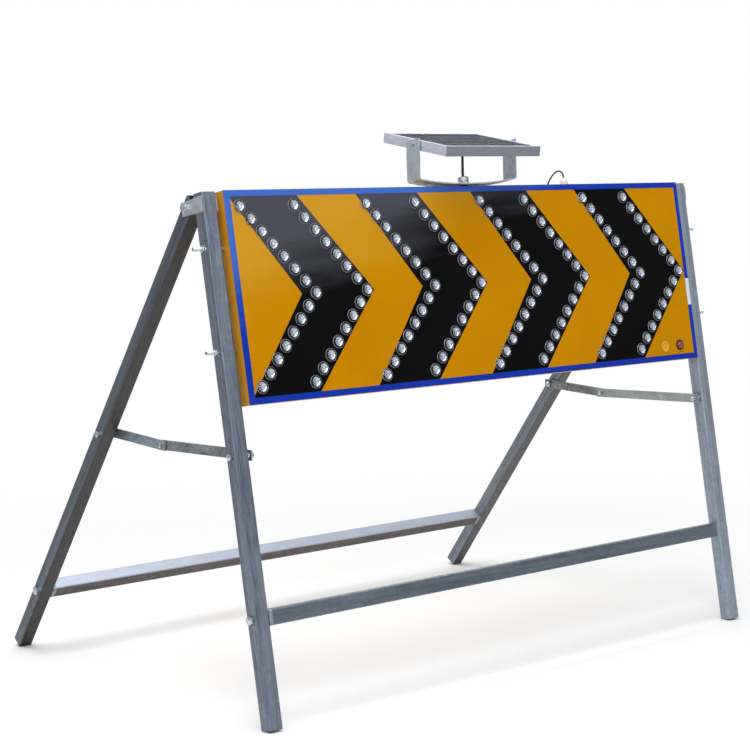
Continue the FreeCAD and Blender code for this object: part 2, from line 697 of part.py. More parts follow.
# Lights: faceted lenses on the films, over strips of board inside the face
FACETS = 12
LIGHTS_EACH_WAY = 7
lenses = doc.addObject("Part::Feature", "led_lenses")
lens_wires = []
for across, depth in (("light", "black_face"), ("light_top", "black_face - light_height")):
    ring = [V(value(across) / 2 * math.cos(2 * math.pi * k / FACETS), value(depth),
              value(across) / 2 * math.sin(2 * math.pi * k / FACETS)) for k in range(FACETS + 1)]
    lens_wires.append(Part.makePolygon(ring))
lens = Part.makeLoft(lens_wires, True, True)
lens_solids = []
for middle in light_lines():
    for step in range(-LIGHTS_EACH_WAY, LIGHTS_EACH_WAY + 1):
        spot = V(value(middle) - abs(step) * value("light_step_across"), 0,
                 value("box_mid_up") + step * value("light_step_down"))
        lens_solids.append(lens.translated(spot))
lenses.Shape = Part.makeCompound(lens_solids)
lenses.setExpression("Placement", named(FRONT))
pieces.append(lenses)
boards = new_piece("led_boards", FRONT)
for middle in light_lines():
    arm_up = "(board_steps*light_step_down)"
    arm_back = "(board_steps*light_step_across)"
    ahead, behind = f"{middle} + board_width/2", f"{middle} - board_width/2"
    extrude(boards, "Pad", "Y", "box_front + box_wall", "box_front + box_wall + board",
            loop((f"{ahead} - {arm_back}", f"box_mid_up - {arm_up}"), (ahead, "box_mid_up"),
                 (f"{ahead} - {arm_back}", f"box_mid_up + {arm_up}"),
                 (f"{behind} - {arm_back}", f"box_mid_up + {arm_up}"), (behind, "box_mid_up"),
                 (f"{behind} - {arm_back}", f"box_mid_up - {arm_up}")))

# Push button: a bezel with a barrel through the face, a ring nut behind, and the cap
bezel = new_piece("button_bezel", FRONT)
extrude(bezel, "Pad", "Y", "film_face - button_bezel_height", "film_face",
        circle("button_across", "button_up", "button_bezel"))
extrude(bezel, "Pad", "Y", "film_face", "film_face + button_barrel_length",
        circle("button_across", "button_up", "button_barrel"))
extrude(bezel, "Pocket", "Y", "film_face - button_bezel_height - past",
        "film_face + button_stem + button_travel + button_gap",
        circle("button_across", "button_up", "button + 2*button_gap"))
ring_nut = new_piece("button_nut", FRONT)
extrude(ring_nut, "Pad", "Y", "box_front + box_wall", "box_front + box_wall + button_nut_height",
        hexagon("button_across", "button_up", "button_bezel"),
        circle("button_across", "button_up", "button_barrel"))
button = new_piece("power_button", FRONT)
extrude(button, "Pad", "Y", "film_face - button_bezel_height - button_proud", "film_face + button_stem",
        circle("button_across", "button_up", "button"))
blank_cap = new_piece("blanking_cap", FRONT)
extrude(blank_cap, "Pad", "Y", "film_face - cap_height", "film_face",
        circle("cap_across", "button_up", "cap"))
extrude(blank_cap, "Pad", "Y", "film_face", "film_face + cap_plug_length",
        circle("cap_across", "button_up", "cap_plug"))

# Battery under its clamp, and the flasher board on standoffs, on the back cover
battery = new_piece("battery_pack", FRONT)
extrude(battery, "Pad", "Y", "cover_front - battery_thickness", "cover_front",
        rectangle("battery_across - battery_length/2", "battery_up - battery_height/2",
                  "battery_across + battery_length/2", "battery_up + battery_height/2"))
clamp = new_piece("battery_clamp", FRONT)
clamp_half = "(battery_height/2 + clamp)"
extrude(clamp, "Pad", "X", "battery_across - clamp_width/2", "battery_across + clamp_width/2",
        loop(("cover_front", f"battery_up - {clamp_half} - clamp_foot"),
             ("cover_front", "battery_up - battery_height/2"),
             ("cover_front - battery_thickness", "battery_up - battery_height/2"),
             ("cover_front - battery_thickness", "battery_up + battery_height/2"),
             ("cover_front", "battery_up + battery_height/2"),
             ("cover_front", f"battery_up + {clamp_half} + clamp_foot"),
             ("cover_front - clamp", f"battery_up + {clamp_half} + clamp_foot"),
             ("cover_front - clamp", f"battery_up + {clamp_half}"),
             ("cover_front - battery_thickness - clamp", f"battery_up + {clamp_half}"),
             ("cover_front - battery_thickness - clamp", f"battery_up - {clamp_half}"),
             ("cover_front - clamp", f"battery_up - {clamp_half}"),
             ("cover_front - clamp", f"battery_up - {clamp_half} - clamp_foot")))
control = new_piece("flasher_board", FRONT)
extrude(control, "Pad", "Y", "cover_front - standoff_height - control_board", "cover_front - standoff_height",
        rectangle("control_across - control_length/2", "battery_up - control_height/2",
                  "control_across + control_length/2", "battery_up + control_height/2"))
standoffs = new_piece("board_standoffs", FRONT)
extrude(standoffs, "Pad", "Y", "cover_front - standoff_height", "cover_front",
        *(circle(f"control_across + {a}*(control_length/2 - standoff_inset)",
                 f"battery_up + {b}*(control_height/2 - standoff_inset)", "standoff")
          for a in (-1, 1) for b in (-1, 1)))


def revolve(body, axis, *steps):
    """Turns a profile, given as (radius, distance along the axis), once about the body's Z axis."""
    sketch = body.newObject("Sketcher::SketchObject", "profile")
    sketch.AttachmentSupport = (plane_of(body, "Y"), [""])
    sketch.MapMode = "FlatFace"
    loop(*steps)(sketch)
    feature = body.newObject("PartDesign::Revolution", "turned")
    feature.Profile = sketch
    feature.ReferenceAxis = (sketch, [axis])
    return feature


def group(label, members):
    """One piece made of like bodies that stand in different places."""
    feature = doc.addObject("Part::Compound", label)
    feature.Label = label
    feature.Links = members
    for member in members:
        pieces.remove(member)
    pieces.append(feature)


# Cable glands, domed and turned about their own axes: one on the box's top, one on its back
top_place = f"{FRONT} * placement(vector(gland_across; box_middle; box_top); rotation(vector(1; 0; 0); 0))"
rear_place = (f"{FRONT} * placement(vector(rear_gland_across; box_back; box_top - rear_gland_below_top); "
              "rotation(vector(1; 0; 0); -90))")
gland_bodies = []
gland_nuts = []
for place_name, place in (("top", top_place), ("rear", rear_place)):
    gland_body = new_piece(f"{place_name}_gland", place)
    revolve(gland_body, "V_Axis",
            ("0", "-gland_thread_length"), ("gland_thread/2", "-gland_thread_length"),
            ("gland_thread/2", "0"),
            ("gland/2", "0"), ("gland/2", "gland_collar"), ("gland/2 - gland_step", "gland_collar"),
            ("gland/2 - gland_step", "gland_collar + gland_dome/2"),
            ("gland_mouth/2", "gland_collar + gland_dome"),
            ("0", "gland_collar + gland_dome"))
    gland_bodies.append(gland_body)
    gland_nut = new_piece(f"{place_name}_gland_nut", place)
    extrude(gland_nut, "Pad", "Z", "-box_wall - gland_nut_height", "-box_wall",
            hexagon("0", "0", "gland_nut"), circle("0", "0", "gland_thread"))
    gland_nuts.append(gland_nut)
group("cable_glands", gland_bodies)
group("gland_nuts", gland_nuts)

# Hollow stud with its nuts and the rubber washer
stud = new_piece("hollow_stud", FRONT)
extrude(stud, "Pad", "Z", "box_top - stud_inside", "stud_top",
        circle("0", "box_middle", "stud"), circle("0", "box_middle", "stud_bore"))
stud_nuts = new_piece("stud_nuts", FRONT)
for low_side, high_side in (("box_top - box_wall - inside_nut_height", "box_top - box_wall"),
                            ("strap_top", "strap_top + lock_nut_height"),
                            ("strap_top + lock_nut_height + stay_play", "stud_top - stud_end")):
    extrude(stud_nuts, "Pad", "Z", low_side, high_side,
            hexagon("0", "box_middle", "stud_nut"), circle("0", "box_middle", "stud"))
rubber = new_piece("rubber_washer", FRONT)
extrude(rubber, "Pad", "Z", "box_top", "strap_low",
        circle("0", "box_middle", "rubber"), circle("0", "box_middle", "stud"))

# Strap: a flat seat, wings that bow up from it, a bend, and an arm that leans back to plumb
strap_body = new_piece("solar_strap", FRONT)
arm_foot = "bend_up"
extrude(strap_body, "Pad", "Y", "box_middle - strap_width/2", "box_middle + strap_width/2",
        loop(("0", "strap_low"), ("seat_half", "strap_low"),
             ("seat_half + strap_bow_radius*bow_cos", "bow_up - strap_bow_radius*bow_sin",
              "strap_bow_radius", 1),
             ("arm_outer", arm_foot, "bend_outer", 1), ("arm_inner", arm_foot),
             ("seat_half + (strap_bow_radius - strap)*bow_cos", "bow_up - (strap_bow_radius - strap)*bow_sin",
              "strap_bend", -1),
             ("seat_half", "strap_top", "strap_bow_radius - strap", -1), ("0", "strap_top")))
arm_back = "((arm_rise + arm_above_pivot)*sin(front_lean))"
arm_top = "(bend_up + (arm_rise + arm_above_pivot)*cos(front_lean))"
extrude(strap_body, "Pad", "X", "arm_inner", "arm_outer",
        loop(("box_middle - strap_width/2", arm_foot), ("box_middle + strap_width/2", arm_foot),
             (f"box_middle + strap_width/2 - {arm_back}", arm_top),
             (f"box_middle - strap_width/2 - {arm_back}", arm_top)))
extrude(strap_body, "Pocket", "X", "arm_inner - past", "arm_outer + past",
        circle("pivot_depth", "pivot_up", "pivot_bolt + 2*running_gap"))
mirror(strap_body)
extrude(strap_body, "Pocket", "Z", "strap_low - past", "strap_top + past",
        circle("0", "box_middle", "stud + 2*running_gap"))

# Solar panel, modelled about its tilt axis
panel = new_piece("panel_frame", PANEL)
extrude(panel, "Pad", "Z", "panel_low", "panel_above_pivot",
        rectangle("-panel_half", "-panel_half_depth", "panel_half", "panel_half_depth"))
hollows = (("laminate_low", "laminate_top", "panel_wall"),
           ("laminate_top - past", "panel_above_pivot + past", "(panel_wall + panel_lip)"),
           ("laminate_low - panel_lip_height - past", "laminate_low + past", "(panel_wall + panel_lip)"),
           ("panel_low + panel_lip_height", "laminate_low - panel_lip_height", "panel_wall"),
           ("panel_low - past", "panel_low + panel_lip_height + past", "(panel_wall + panel_foot)"))
for low_side, high_side, inset in hollows:
    extrude(panel, "Pocket", "Z", low_side, high_side,
            rectangle(f"{inset} - panel_half", f"{inset} - panel_half_depth",
                      f"panel_half - {inset}", f"panel_half_depth - {inset}"))
for low_side, high_side in (("panel_half - panel_wall - past", "panel_half + past"),
                            ("-panel_half - past", "panel_wall + past - panel_half")):
    extrude(panel, "Pocket", "X", low_side, high_side, circle("0", "0", "pivot_bolt"))
glass = new_piece("solar_laminate", PANEL)
inset = "(panel_wall + laminate_slack)"
extrude(glass, "Pad", "Z", "laminate_low", "laminate_top",
        rectangle(f"{inset} - panel_half", f"{inset} - panel_half_depth",
                  f"panel_half - {inset}", f"panel_half_depth - {inset}"))
junction = new_piece("junction_box", PANEL)
extrude(junction, "Pad", "Z", "junction_low", "laminate_low",
        rectangle("-junction_length/2", "-junction_depth/2", "junction_length/2", "junction_depth/2"))
extrude(junction, "Pocket", "Z", "junction_low - past", "laminate_low - junction_wall",
        rounded("-junction_slot/2", "-junction_slot_length/2", "junction_slot/2", "junction_slot_length/2",
                "junction_slot_corner"))
pivots = new_piece("panel_pivot_bolts", PANEL)
extrude(pivots, "Pad", "X", "arm_outer + stay_play", "arm_outer + stay_play + pivot_head_height",
        hexagon("0", "0", "pivot_head"))
extrude(pivots, "Pad", "X", "panel_half - panel_wall", "arm_outer + stay_play",
        circle("0", "0", "pivot_bolt"))
mirror(pivots)
spacers = new_piece("panel_spacers", PANEL)
extrude(spacers, "Pad", "X", "panel_half", "arm_inner - stay_play",
        circle("0", "0", "pivot_spacer"), circle("0", "0", "pivot_bolt"))
mirror(spacers)

# Leads, each along straight runs that tangent arcs join. Their points are in the front
# frame: across, depth behind the front legs' front faces, and height up the leg.
PANEL_LEAD = [V(0, 15.5, 1006), V(0, 15.5, 1026), V(0.6, 12.5, 1046), V(-0.4, 8.2, 1065), V(0, 4.6, 1084)]
LINK_LEAD = [V(287, 15.5, 1018), V(287, 15.7, 1025.3), V(286.6, 18.9, 1031.7), V(286, 25.6, 1035.7),
             V(285.2, 35.6, 1035.6), V(284.2, 47.5, 1029), V(283, 59, 1018), V(282, 69, 1004),
             V(281, 77, 988.5), V(280.3, 80.5, 972), V(280, 77.5, 959), V(280, 70, 951.2), V(280, 61, 950)]
BEND_SHARE = 0.45


def lead(label, size, points):
    """A round lead whose arcs take a fixed share of the shorter run beside them."""
    edges = []
    start = points[0]
    radii = []
    for before, corner, after in zip(points, points[1:], points[2:]):
        back, ahead = before - corner, after - corner
        turn = math.pi - back.getAngle(ahead)
        reach = BEND_SHARE * min(back.Length, ahead.Length)
        radius = reach / math.tan(turn / 2)
        enter = corner + back.normalize() * reach
        leave = corner + ahead.normalize() * reach
        inward = (back + ahead).normalize()
        middle = corner + inward * (radius / math.cos(turn / 2) - radius)
        edges += [Part.makeLine(start, enter), Part.Arc(enter, middle, leave).toShape()]
        radii.append(round(radius, 1))
        start = leave
    edges.append(Part.makeLine(start, points[-1]))
    path = Part.Wire(edges)
    along = points[1] - points[0]
    ring = Part.Wire(Part.makeCircle(value(size) / 2, points[0], along))
    shape = path.makePipeShell([ring], True, False)
    feature = doc.addObject("Part::Feature", label)
    feature.Label = label
    feature.Shape = shape
    feature.setExpression("Placement", named(FRONT))
    pieces.append(feature)
    section = math.pi * value(size) ** 2 / 4
    print(f"{label}: length {path.Length:.1f}, bend radii {radii}, "
          f"volume {shape.Volume:.1f} against {section * path.Length:.1f}")


lead("panel_lead", "panel_lead", PANEL_LEAD)
lead("link_lead", "link_lead", LINK_LEAD)

# Check everything, then write one file for each piece. The mirrors read finished
# shapes, so they need a second pass.
doc.recompute()
doc.recompute()
failed = [item for item in doc.Objects if {"Invalid", "Error"} & set(item.State)]
if failed:
    owners = [(item.Name, getattr(item.getParentGeoFeatureGroup(), "Label", "")) for item in failed]
    raise RuntimeError(f"These features failed: {owners}")
os.makedirs("parts", exist_ok=True)
for piece in pieces:
    if piece.Shape.isNull() or not piece.Shape.isValid():
        raise RuntimeError(f"{piece.Label} has no valid shape")
for piece in pieces:
    piece.Shape.exportStep(f"parts/{piece.Label}.step")
print(f"{len(pieces)} pieces written")
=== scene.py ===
"""A folding chevron sign: a yellow light box with four black chevrons stands between the
front legs of a galvanised steel stand, with a small solar panel over it. Sizes inside the
sections are millimetres, and become metres where a piece is placed."""

import math

import bmesh
import bpy
import numpy as np
from mathutils import Matrix


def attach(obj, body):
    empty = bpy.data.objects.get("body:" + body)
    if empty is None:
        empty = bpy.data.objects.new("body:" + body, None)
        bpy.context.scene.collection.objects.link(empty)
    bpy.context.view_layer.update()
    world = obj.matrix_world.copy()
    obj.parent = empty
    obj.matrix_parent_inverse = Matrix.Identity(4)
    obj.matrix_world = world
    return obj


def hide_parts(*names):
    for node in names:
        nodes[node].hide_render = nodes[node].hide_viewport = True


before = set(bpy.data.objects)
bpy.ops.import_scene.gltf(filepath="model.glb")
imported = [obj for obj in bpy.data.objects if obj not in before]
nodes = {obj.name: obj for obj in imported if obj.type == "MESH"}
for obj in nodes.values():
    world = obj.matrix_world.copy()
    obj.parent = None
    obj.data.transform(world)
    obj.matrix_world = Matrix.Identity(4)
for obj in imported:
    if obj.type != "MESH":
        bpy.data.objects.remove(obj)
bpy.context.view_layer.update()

# Camera. It stands where the photographer stood, to the left of the sign and a little below
# its top, and it was fitted to the stand's corners.
CAMERA_PLACE = (-2.526948, -3.265303, 0.960525)
CAMERA_TURN, CAMERA_DIP, CAMERA_ROLL = (math.radians(angle) for angle in (40.496, 6.906, 1.419))
ahead = np.array([math.sin(CAMERA_TURN) * math.cos(CAMERA_DIP),
                  math.cos(CAMERA_TURN) * math.cos(CAMERA_DIP), -math.sin(CAMERA_DIP)])
level = np.array([math.cos(CAMERA_TURN), -math.sin(CAMERA_TURN), 0])
down = np.cross(ahead, level)
camera_right = level * math.cos(CAMERA_ROLL) + down * math.sin(CAMERA_ROLL)
camera_up = level * math.sin(CAMERA_ROLL) - down * math.cos(CAMERA_ROLL)
lens = bpy.data.cameras.new("camera")
lens.sensor_width = 36
lens.lens = 89.215
lens.shift_x = -0.1177
lens.shift_y = 0.0703
camera = bpy.data.objects.new("camera", lens)
place = np.eye(4)
place[:3] = np.column_stack([camera_right, camera_up, -ahead, CAMERA_PLACE])
camera.matrix_world = Matrix(place.tolist())
bpy.context.collection.objects.link(camera)
bpy.context.scene.camera = camera
bpy.context.scene.view_settings.view_transform = "Standard"


# Studio. A broad soft lamp overhead, weaker ones from both sides, and a pale floor that
# fades into a white surround.
def linear(code):
    """An sRGB hex colour as linear light: v/12.92 when dark, ((v + 0.055)/1.055)^2.4 above."""
    levels = [int(code[start:start + 2], 16) / 255 for start in (1, 3, 5)]
    return (*(v / 12.92 if v <= 0.04045 else ((v + 0.055) / 1.055) ** 2.4 for v in levels), 1.0)


def add(tree, kind, inputs=(), **settings):
    """Adds a node with its settings. An input is given a value, or another node's socket."""
    made = tree.nodes.new("ShaderNode" + kind)
    for name, setting in settings.items():
        setattr(made, name, setting)
    for name, entry in dict(inputs).items():
        if isinstance(entry, bpy.types.NodeSocket):
            tree.links.new(entry, made.inputs[name])
        else:
            made.inputs[name].default_value = entry
    return made


def maths(tree, operation, *values):
    """The result of a sum on numbers and sockets."""
    return add(tree, "Math", dict(enumerate(values)), operation=operation).outputs[0]


def ramp(tree, source, low, high, to_low=0.0, to_high=1.0):
    """A value carried from one range to another, and held at its ends."""
    return add(tree, "MapRange", {"Value": source, "From Min": low, "From Max": high,
                                  "To Min": to_low, "To Max": to_high}).outputs[0]


def lamp(name, place, aim, size, watts, tint):
    """A square soft box at a place, turned to face its aim."""
    light = bpy.data.lights.new(name, "AREA")
    light.size = size
    light.energy = watts
    light.color = linear(tint)[:3]
    box = bpy.data.objects.new(name, light)
    back = np.array(place, float) - np.array(aim, float)
    back /= np.linalg.norm(back)
    side = np.cross((0.0, 0.0, 1.0) if abs(back[2]) < 0.99 else (0.0, 1.0, 0.0), back)
    side /= np.linalg.norm(side)
    stand = np.eye(4)
    stand[:3] = np.column_stack([side, np.cross(back, side), back, place])
    box.matrix_world = Matrix(stand.tolist())
    bpy.context.collection.objects.link(box)


lamp("overhead", (-0.6, -0.4, 3.6), (0, 0, 0.5), 3.0, 95, "#fdfeff")
lamp("left_front", (-2.6, -3.6, 2.7), (0, 0, 0.7), 1.8, 62, "#f8fbff")
lamp("right_front", (1.5, -3.1, 1.9), (-0.5, -0.3, 0.9), 1.0, 5, "#fffcf6")
lamp("right_rear", (2.6, 2.8, 1.8), (0, 0, 0.6), 1.6, 16, "#fffdf8")

surround = bpy.data.worlds.new("pale_surround")
bpy.context.scene.world = surround
surround.use_nodes = True
sky = surround.node_tree
sky.nodes.clear()


def white_light(strength):
    """The surround's white light, at a strength."""
    return add(sky, "Background", {"Color": linear("#ffffff"), "Strength": strength}).outputs[0]


ray = add(sky, "LightPath").outputs
height = add(sky, "SeparateXYZ", {0: add(sky, "TexCoord").outputs["Generated"]}).outputs["Z"]
seen = maths(sky, "MAXIMUM", ray["Is Camera Ray"], ray["Is Transmission Ray"])
dim = white_light(ramp(sky, height, -0.35, 0.75, 0.16, 0.62))
gleam = white_light(ramp(sky, height, -0.5, 0.9, 0.25, 1.0))
mixed = add(sky, "MixShader", {0: seen, 1: dim, 2: white_light(1.0)})
glossy = add(sky, "MixShader", {0: ray["Is Glossy Ray"], 1: mixed.outputs[0], 2: gleam})
add(sky, "OutputWorld", {"Surface": glossy.outputs[0]})

FLOOR_REACH = 14.0
floor_mesh = bpy.data.meshes.new("floor")
floor_mesh.from_pydata([(x * FLOOR_REACH, y * FLOOR_REACH, 0)
                        for x, y in ((-1, -1), (1, -1), (1, 1), (-1, 1))], [], [(0, 1, 2, 3)])
floor = bpy.data.objects.new("floor", floor_mesh)
bpy.context.collection.objects.link(floor)


def finish(name):
    """A material with an empty tree, and the tree."""
    made = bpy.data.materials.new(name)
    made.use_nodes = True
    made.node_tree.nodes.clear()
    return made, made.node_tree


# White painted studio floor, matt, that loses its shading away from the sign.
paint, tree = finish("studio_floor_paint")
away = add(tree, "VectorMath", {0: add(tree, "TexCoord").outputs["Object"]}, operation="LENGTH")
fade = add(tree, "MapRange", {"Value": away.outputs["Value"], "From Min": 0.9, "From Max": 2.6},
           interpolation_type="SMOOTHSTEP").outputs[0]
matt = add(tree, "BsdfDiffuse", {"Color": linear("#f2f2f2")}).outputs[0]
plain = add(tree, "Emission", {"Color": linear("#ffffff"), "Strength": 1.0}).outputs[0]
amount = maths(tree, "MULTIPLY", fade, add(tree, "LightPath").outputs["Is Camera Ray"])
both = add(tree, "MixShader", {0: amount, 1: matt, 2: plain})
add(tree, "OutputMaterial", {"Surface": both.outputs[0]})
floor_mesh.materials.append(paint)

# Legs. Square steel tube, hot-dip galvanised, open at the foot and the top. The front pair
# leans back 9 degrees, and the rear pair hangs from the hinge at the top.
TUBE = 30
TUBE_MIDDLE = TUBE / 2
LEG_INNER, LEG_OUTER = 620, 650
LEAN = math.radians(9)
FRONT_FRAME = (-499.865, 4.693, -LEAN)
HINGE = (55, 980)
REAR_REACH = 1233
hinge_y = FRONT_FRAME[0] + HINGE[1] * math.sin(LEAN) + HINGE[0] * math.cos(LEAN)
hinge_z = FRONT_FRAME[1] + HINGE[1] * math.cos(LEAN) - HINGE[0] * math.sin(LEAN)
rear_lean = (math.atan2(TUBE_MIDDLE, REAR_REACH)
             + math.acos(hinge_z / math.hypot(REAR_REACH, TUBE_MIDDLE)))
REAR_FRAME = (hinge_y + REAR_REACH * math.sin(rear_lean) - TUBE_MIDDLE * math.cos(rear_lean),
              0.0, rear_lean)


def to_row(points, own):
    """Points in a frame of their own, in millimetres, turned about X and moved: in metres."""
    y0, z0, angle = own
    x, y, z = np.asarray(points, float).T
    return np.column_stack([x, y0 + y * math.cos(angle) - z * math.sin(angle),
                            z0 + y * math.sin(angle) + z * math.cos(angle)]) / 1000


def own_coordinates(tree, own, stretch=(1, 1, 1)):
    """Object coordinates turned back into a frame of their own, then stretched."""
    y0, z0, angle = own
    c, s = math.cos(angle), math.sin(angle)
    back = (0, -(y0 * c + z0 * s) / 1000, -(z0 * c - y0 * s) / 1000)
    spot = add(tree, "TexCoord").outputs["Object"]
    home = add(tree, "Mapping", {"Vector": spot, "Location": back, "Rotation": (-angle, 0, 0)})
    return add(tree, "Mapping", {"Vector": home.outputs[0], "Scale": stretch}).outputs[0]


def blend_colours(tree, factor, first, second):
    """Two colours mixed by a factor. A colour is a hex code or a socket."""
    ends = {key: linear(entry) if isinstance(entry, str) else entry
            for key, entry in ((6, first), (7, second))}
    return add(tree, "Mix", {0: factor, **ends}, data_type="RGBA").outputs[2]


def noise(tree, spot, scale, detail, roughness=0.5):
    """A cloudy pattern of values about 0.5, finer as its scale rises."""
    return add(tree, "TexNoise", {"Vector": spot, "Scale": scale, "Detail": detail,
                                  "Roughness": roughness}).outputs[0]


def relief(tree, height, depth, over=None):
    """Fine relief, in metres deep, over a coarser one if there is one."""
    under = {} if over is None else {"Normal": over}
    return add(tree, "Bump", {"Height": height, "Strength": 1.0, "Distance": depth,
                              **under}).outputs[0]


def surface(tree, colour, roughness, normal, **sockets):
    """The shader and the output. Other sockets are named with underscores for spaces."""
    named = {name.replace("_", " "): entry for name, entry in sockets.items()}
    if normal is not None:
        named["Normal"] = normal
    shader = add(tree, "BsdfPrincipled", {"Base Color": colour, "Roughness": roughness, **named})
    add(tree, "OutputMaterial", {"Surface": shader.outputs[0]})


def galvanised(name, own, stretch, tones, streak="#c3cad2", faces=()):
    """Hot-dip galvanised steel: a dull zinc skin, with 9 mm spangle, drawn lines along the
    tube some 2 mm apart, and blue-grey weathering in patches about 60 mm long. The tones are
    light, dark and stained. A face may be given painted shade or painted light, darker or paler
    by how light falls on it: (axis, where that starts, where it is full, colour)."""
    made, tree = finish(name)
    light, dark, stain = tones
    along = own_coordinates(tree, own, stretch)
    plain = own_coordinates(tree, own)
    lines = noise(tree, along, 420.0, 4.0, 0.6)
    patches = noise(tree, along, 60.0, 5.0, 0.65)
    spangle = add(tree, "TexVoronoi", {"Vector": plain, "Scale": 110.0}).outputs["Color"]
    grain = add(tree, "SeparateColor", {0: spangle}).outputs[0]
    base = blend_colours(tree, ramp(tree, patches, 0.34, 0.66), dark, light)
    streaked = blend_colours(tree, ramp(tree, lines, 0.42, 0.72, 0.0, 0.45), base, streak)
    marked = blend_colours(tree, ramp(tree, patches, 0.60, 0.78, 0.0, 0.55), streaked, stain)
    spangled = blend_colours(tree, ramp(tree, grain, 0.0, 1.0, 0.0, 0.16), marked, "#59626c")
    # Painted shade or painted light on one face, chosen by the piece's own coordinates.
    for axis, start, full, tone in faces:
        spot = add(tree, "SeparateXYZ", {0: plain}).outputs[axis]
        edge = maths(tree, "ADD", spot, ramp(tree, lines, 0.2, 0.8, -0.0006, 0.0006))
        painted_face_tone = blend_colours(tree, ramp(tree, lines, 0.3, 0.75), tone, spangled)
        painted_face_tone = blend_colours(tree, 0.25, tone, painted_face_tone)
        spangled = blend_colours(tree, ramp(tree, edge, start, full), spangled, painted_face_tone)
    rough = ramp(tree, grain, 0.0, 1.0, 0.36, 0.54)
    surface(tree, spangled, rough, relief(tree, lines, 0.0003), Metallic=0.85)
    return made


def dress(material, *names):
    """Gives CAD nodes their material."""
    for name in names:
        for held in nodes[name].material_slots:
            held.material = material


UPRIGHT, ACROSS = (1, 1, 0.05), (0.05, 1, 1)
# Painted shade on the rear legs' front faces, which face downwards.
PAINTED_SHADE_SIDE = ("Y", 0.003, 0.001)
# The left front leg is given darker tones than the right one.
dress(galvanised("galvanised_tube_darker", FRONT_FRAME, UPRIGHT,
                 ("#7a8594", "#525c6b", "#454f5c"), "#a3adbb"), "front_leg_left")
dress(galvanised("galvanised_tube_paler", FRONT_FRAME, UPRIGHT,
                 ("#9ba8b9", "#7a8797", "#6b7887")), "front_leg_right")
dress(galvanised("galvanised_tube_dull", REAR_FRAME, UPRIGHT,
                 ("#6b7480", "#454a52", "#35363a"), "#7d8794", [(*PAINTED_SHADE_SIDE, "#46423f")]),
      "rear_leg_left")
dress(galvanised("galvanised_tube_grey", REAR_FRAME, UPRIGHT,
                 ("#858c95", "#5f656d", "#4c5056"), "#a5abb3", [(*PAINTED_SHADE_SIDE, "#5d5b5a")]),
      "rear_leg_right")

# Cross bars. The same tube, between the legs, closed by machined steel plugs that the
# cross bars' bolts screw into.
FRONT_CROSSBAR, REAR_CROSSBAR = 206, 172
# Painted light on the rear cross bar's top face, paler than its other faces.
PAINTED_LIGHT_SIDE = ("Z", 0.1845, 0.1862)
dress(galvanised("galvanised_front_crossbar", FRONT_FRAME, ACROSS,
                 ("#6e7885", "#4b5561", "#3d4651"), "#87929f"), "front_crossbar")
dress(galvanised("galvanised_rear_crossbar", REAR_FRAME, ACROSS,
                 ("#6a6361", "#4a4442", "#3a3533"), "#7d7673", [(*PAINTED_LIGHT_SIDE, "#b4bccd")]),
      "rear_crossbar")
dress(galvanised("galvanised_plugs", FRONT_FRAME, (1, 1, 1), ("#9aa3ad", "#7b858f", "#666f78")),
      "front_crossbar_plugs", "rear_crossbar_plugs")


# Fasteners. Hex bolts and nuts of mild steel with bright zinc plate: cold headed, chamfered
# where they were turned, with rolled threads.
def grid_faces(rows, around):
    """Quads between the rings of a tube that closes on itself, with a cap at each end."""
    row, step = np.meshgrid(np.arange(rows - 1), np.arange(around), indexing="ij")
    near, far = row * around + step, row * around + (step + 1) % around
    quads = np.stack([near, far, far + around, near + around], axis=-1).reshape(-1, 4).tolist()
    last = (rows - 1) * around
    return quads + [list(range(around))[::-1], list(range(last, last + around))]


def turned(profile, around=48):
    """Turns a profile of (radius, height) about Z. A third number gives a hexagon's width across
    its flats, which holds that ring's radius to the smaller of the two: on a cone, that draws
    the curved chamfer of a bolt's head."""
    angle = np.arange(around) * 2 * math.pi / around
    rings = []
    for entry in profile:
        radius = np.full(around, float(entry[0]))
        if len(entry) > 2:
            flat = entry[2] / 2 / np.cos((angle + math.pi / 6) % (math.pi / 3) - math.pi / 6)
            radius = np.minimum(radius, flat)
        rings.append(np.column_stack([radius * np.cos(angle), radius * np.sin(angle),
                                      np.full(around, float(entry[1]))]))
    return np.concatenate(rings), grid_faces(len(profile), around)


def looped(shell, around=48):
    """Joins the last ring of a turned shell to its first, in place of its two caps."""
    points, faces = shell
    last, step = len(points) - around, np.arange(around)
    wall = np.stack([step, (step + 1) % around, last + (step + 1) % around, last + step], axis=-1)
    return points, faces[:-2] + wall.tolist()


def threaded(length, diameter, pitch, plain=0.0):
    """A rod with a rolled thread: its radius dips once a pitch, and the dip climbs by one pitch
    in a turn. It is plain up to a height, and chamfered at its end."""
    around, each = 20, 6
    steps = max(int(length / pitch * each), 8)
    angle = np.arange(around) * 2 * math.pi / around
    height = np.linspace(0, length, steps + 1)[:, None]
    wave = 0.5 + 0.5 * np.cos(2 * math.pi * height / pitch - angle[None, :])
    radius = diameter / 2 - 0.3 * pitch * wave * (height > plain) + 0 * angle
    radius = np.minimum(radius, diameter / 2 - 0.6 * pitch + np.maximum(length - height, 0))
    points = np.stack([radius * np.cos(angle), radius * np.sin(angle), height + 0 * radius],
                      axis=-1)
    return points.reshape(-1, 3), grid_faces(steps + 1, around)


def chamfered(flats, low, high, share, both=True):
    """The rings of a hexagon with the curved chamfer that turning leaves, which takes a share
    of its width, on its outer end or on both."""
    corner, cut = flats / math.sqrt(3), share * flats
    first = [(corner - cut * (1 - k / 3), low + cut * 0.55 * k / 3, flats) for k in range(4)]
    last = [(corner - cut * k / 3, high - cut * 0.55 * (1 - k / 3), flats) for k in range(4)]
    return (first if both else [(corner, low, flats)]) + last


def hexed(flats, low, high, both=False):
    """A bolt's head, or with both ends chamfered a nut on its thread."""
    return turned(chamfered(flats, low, high, 0.11, both))


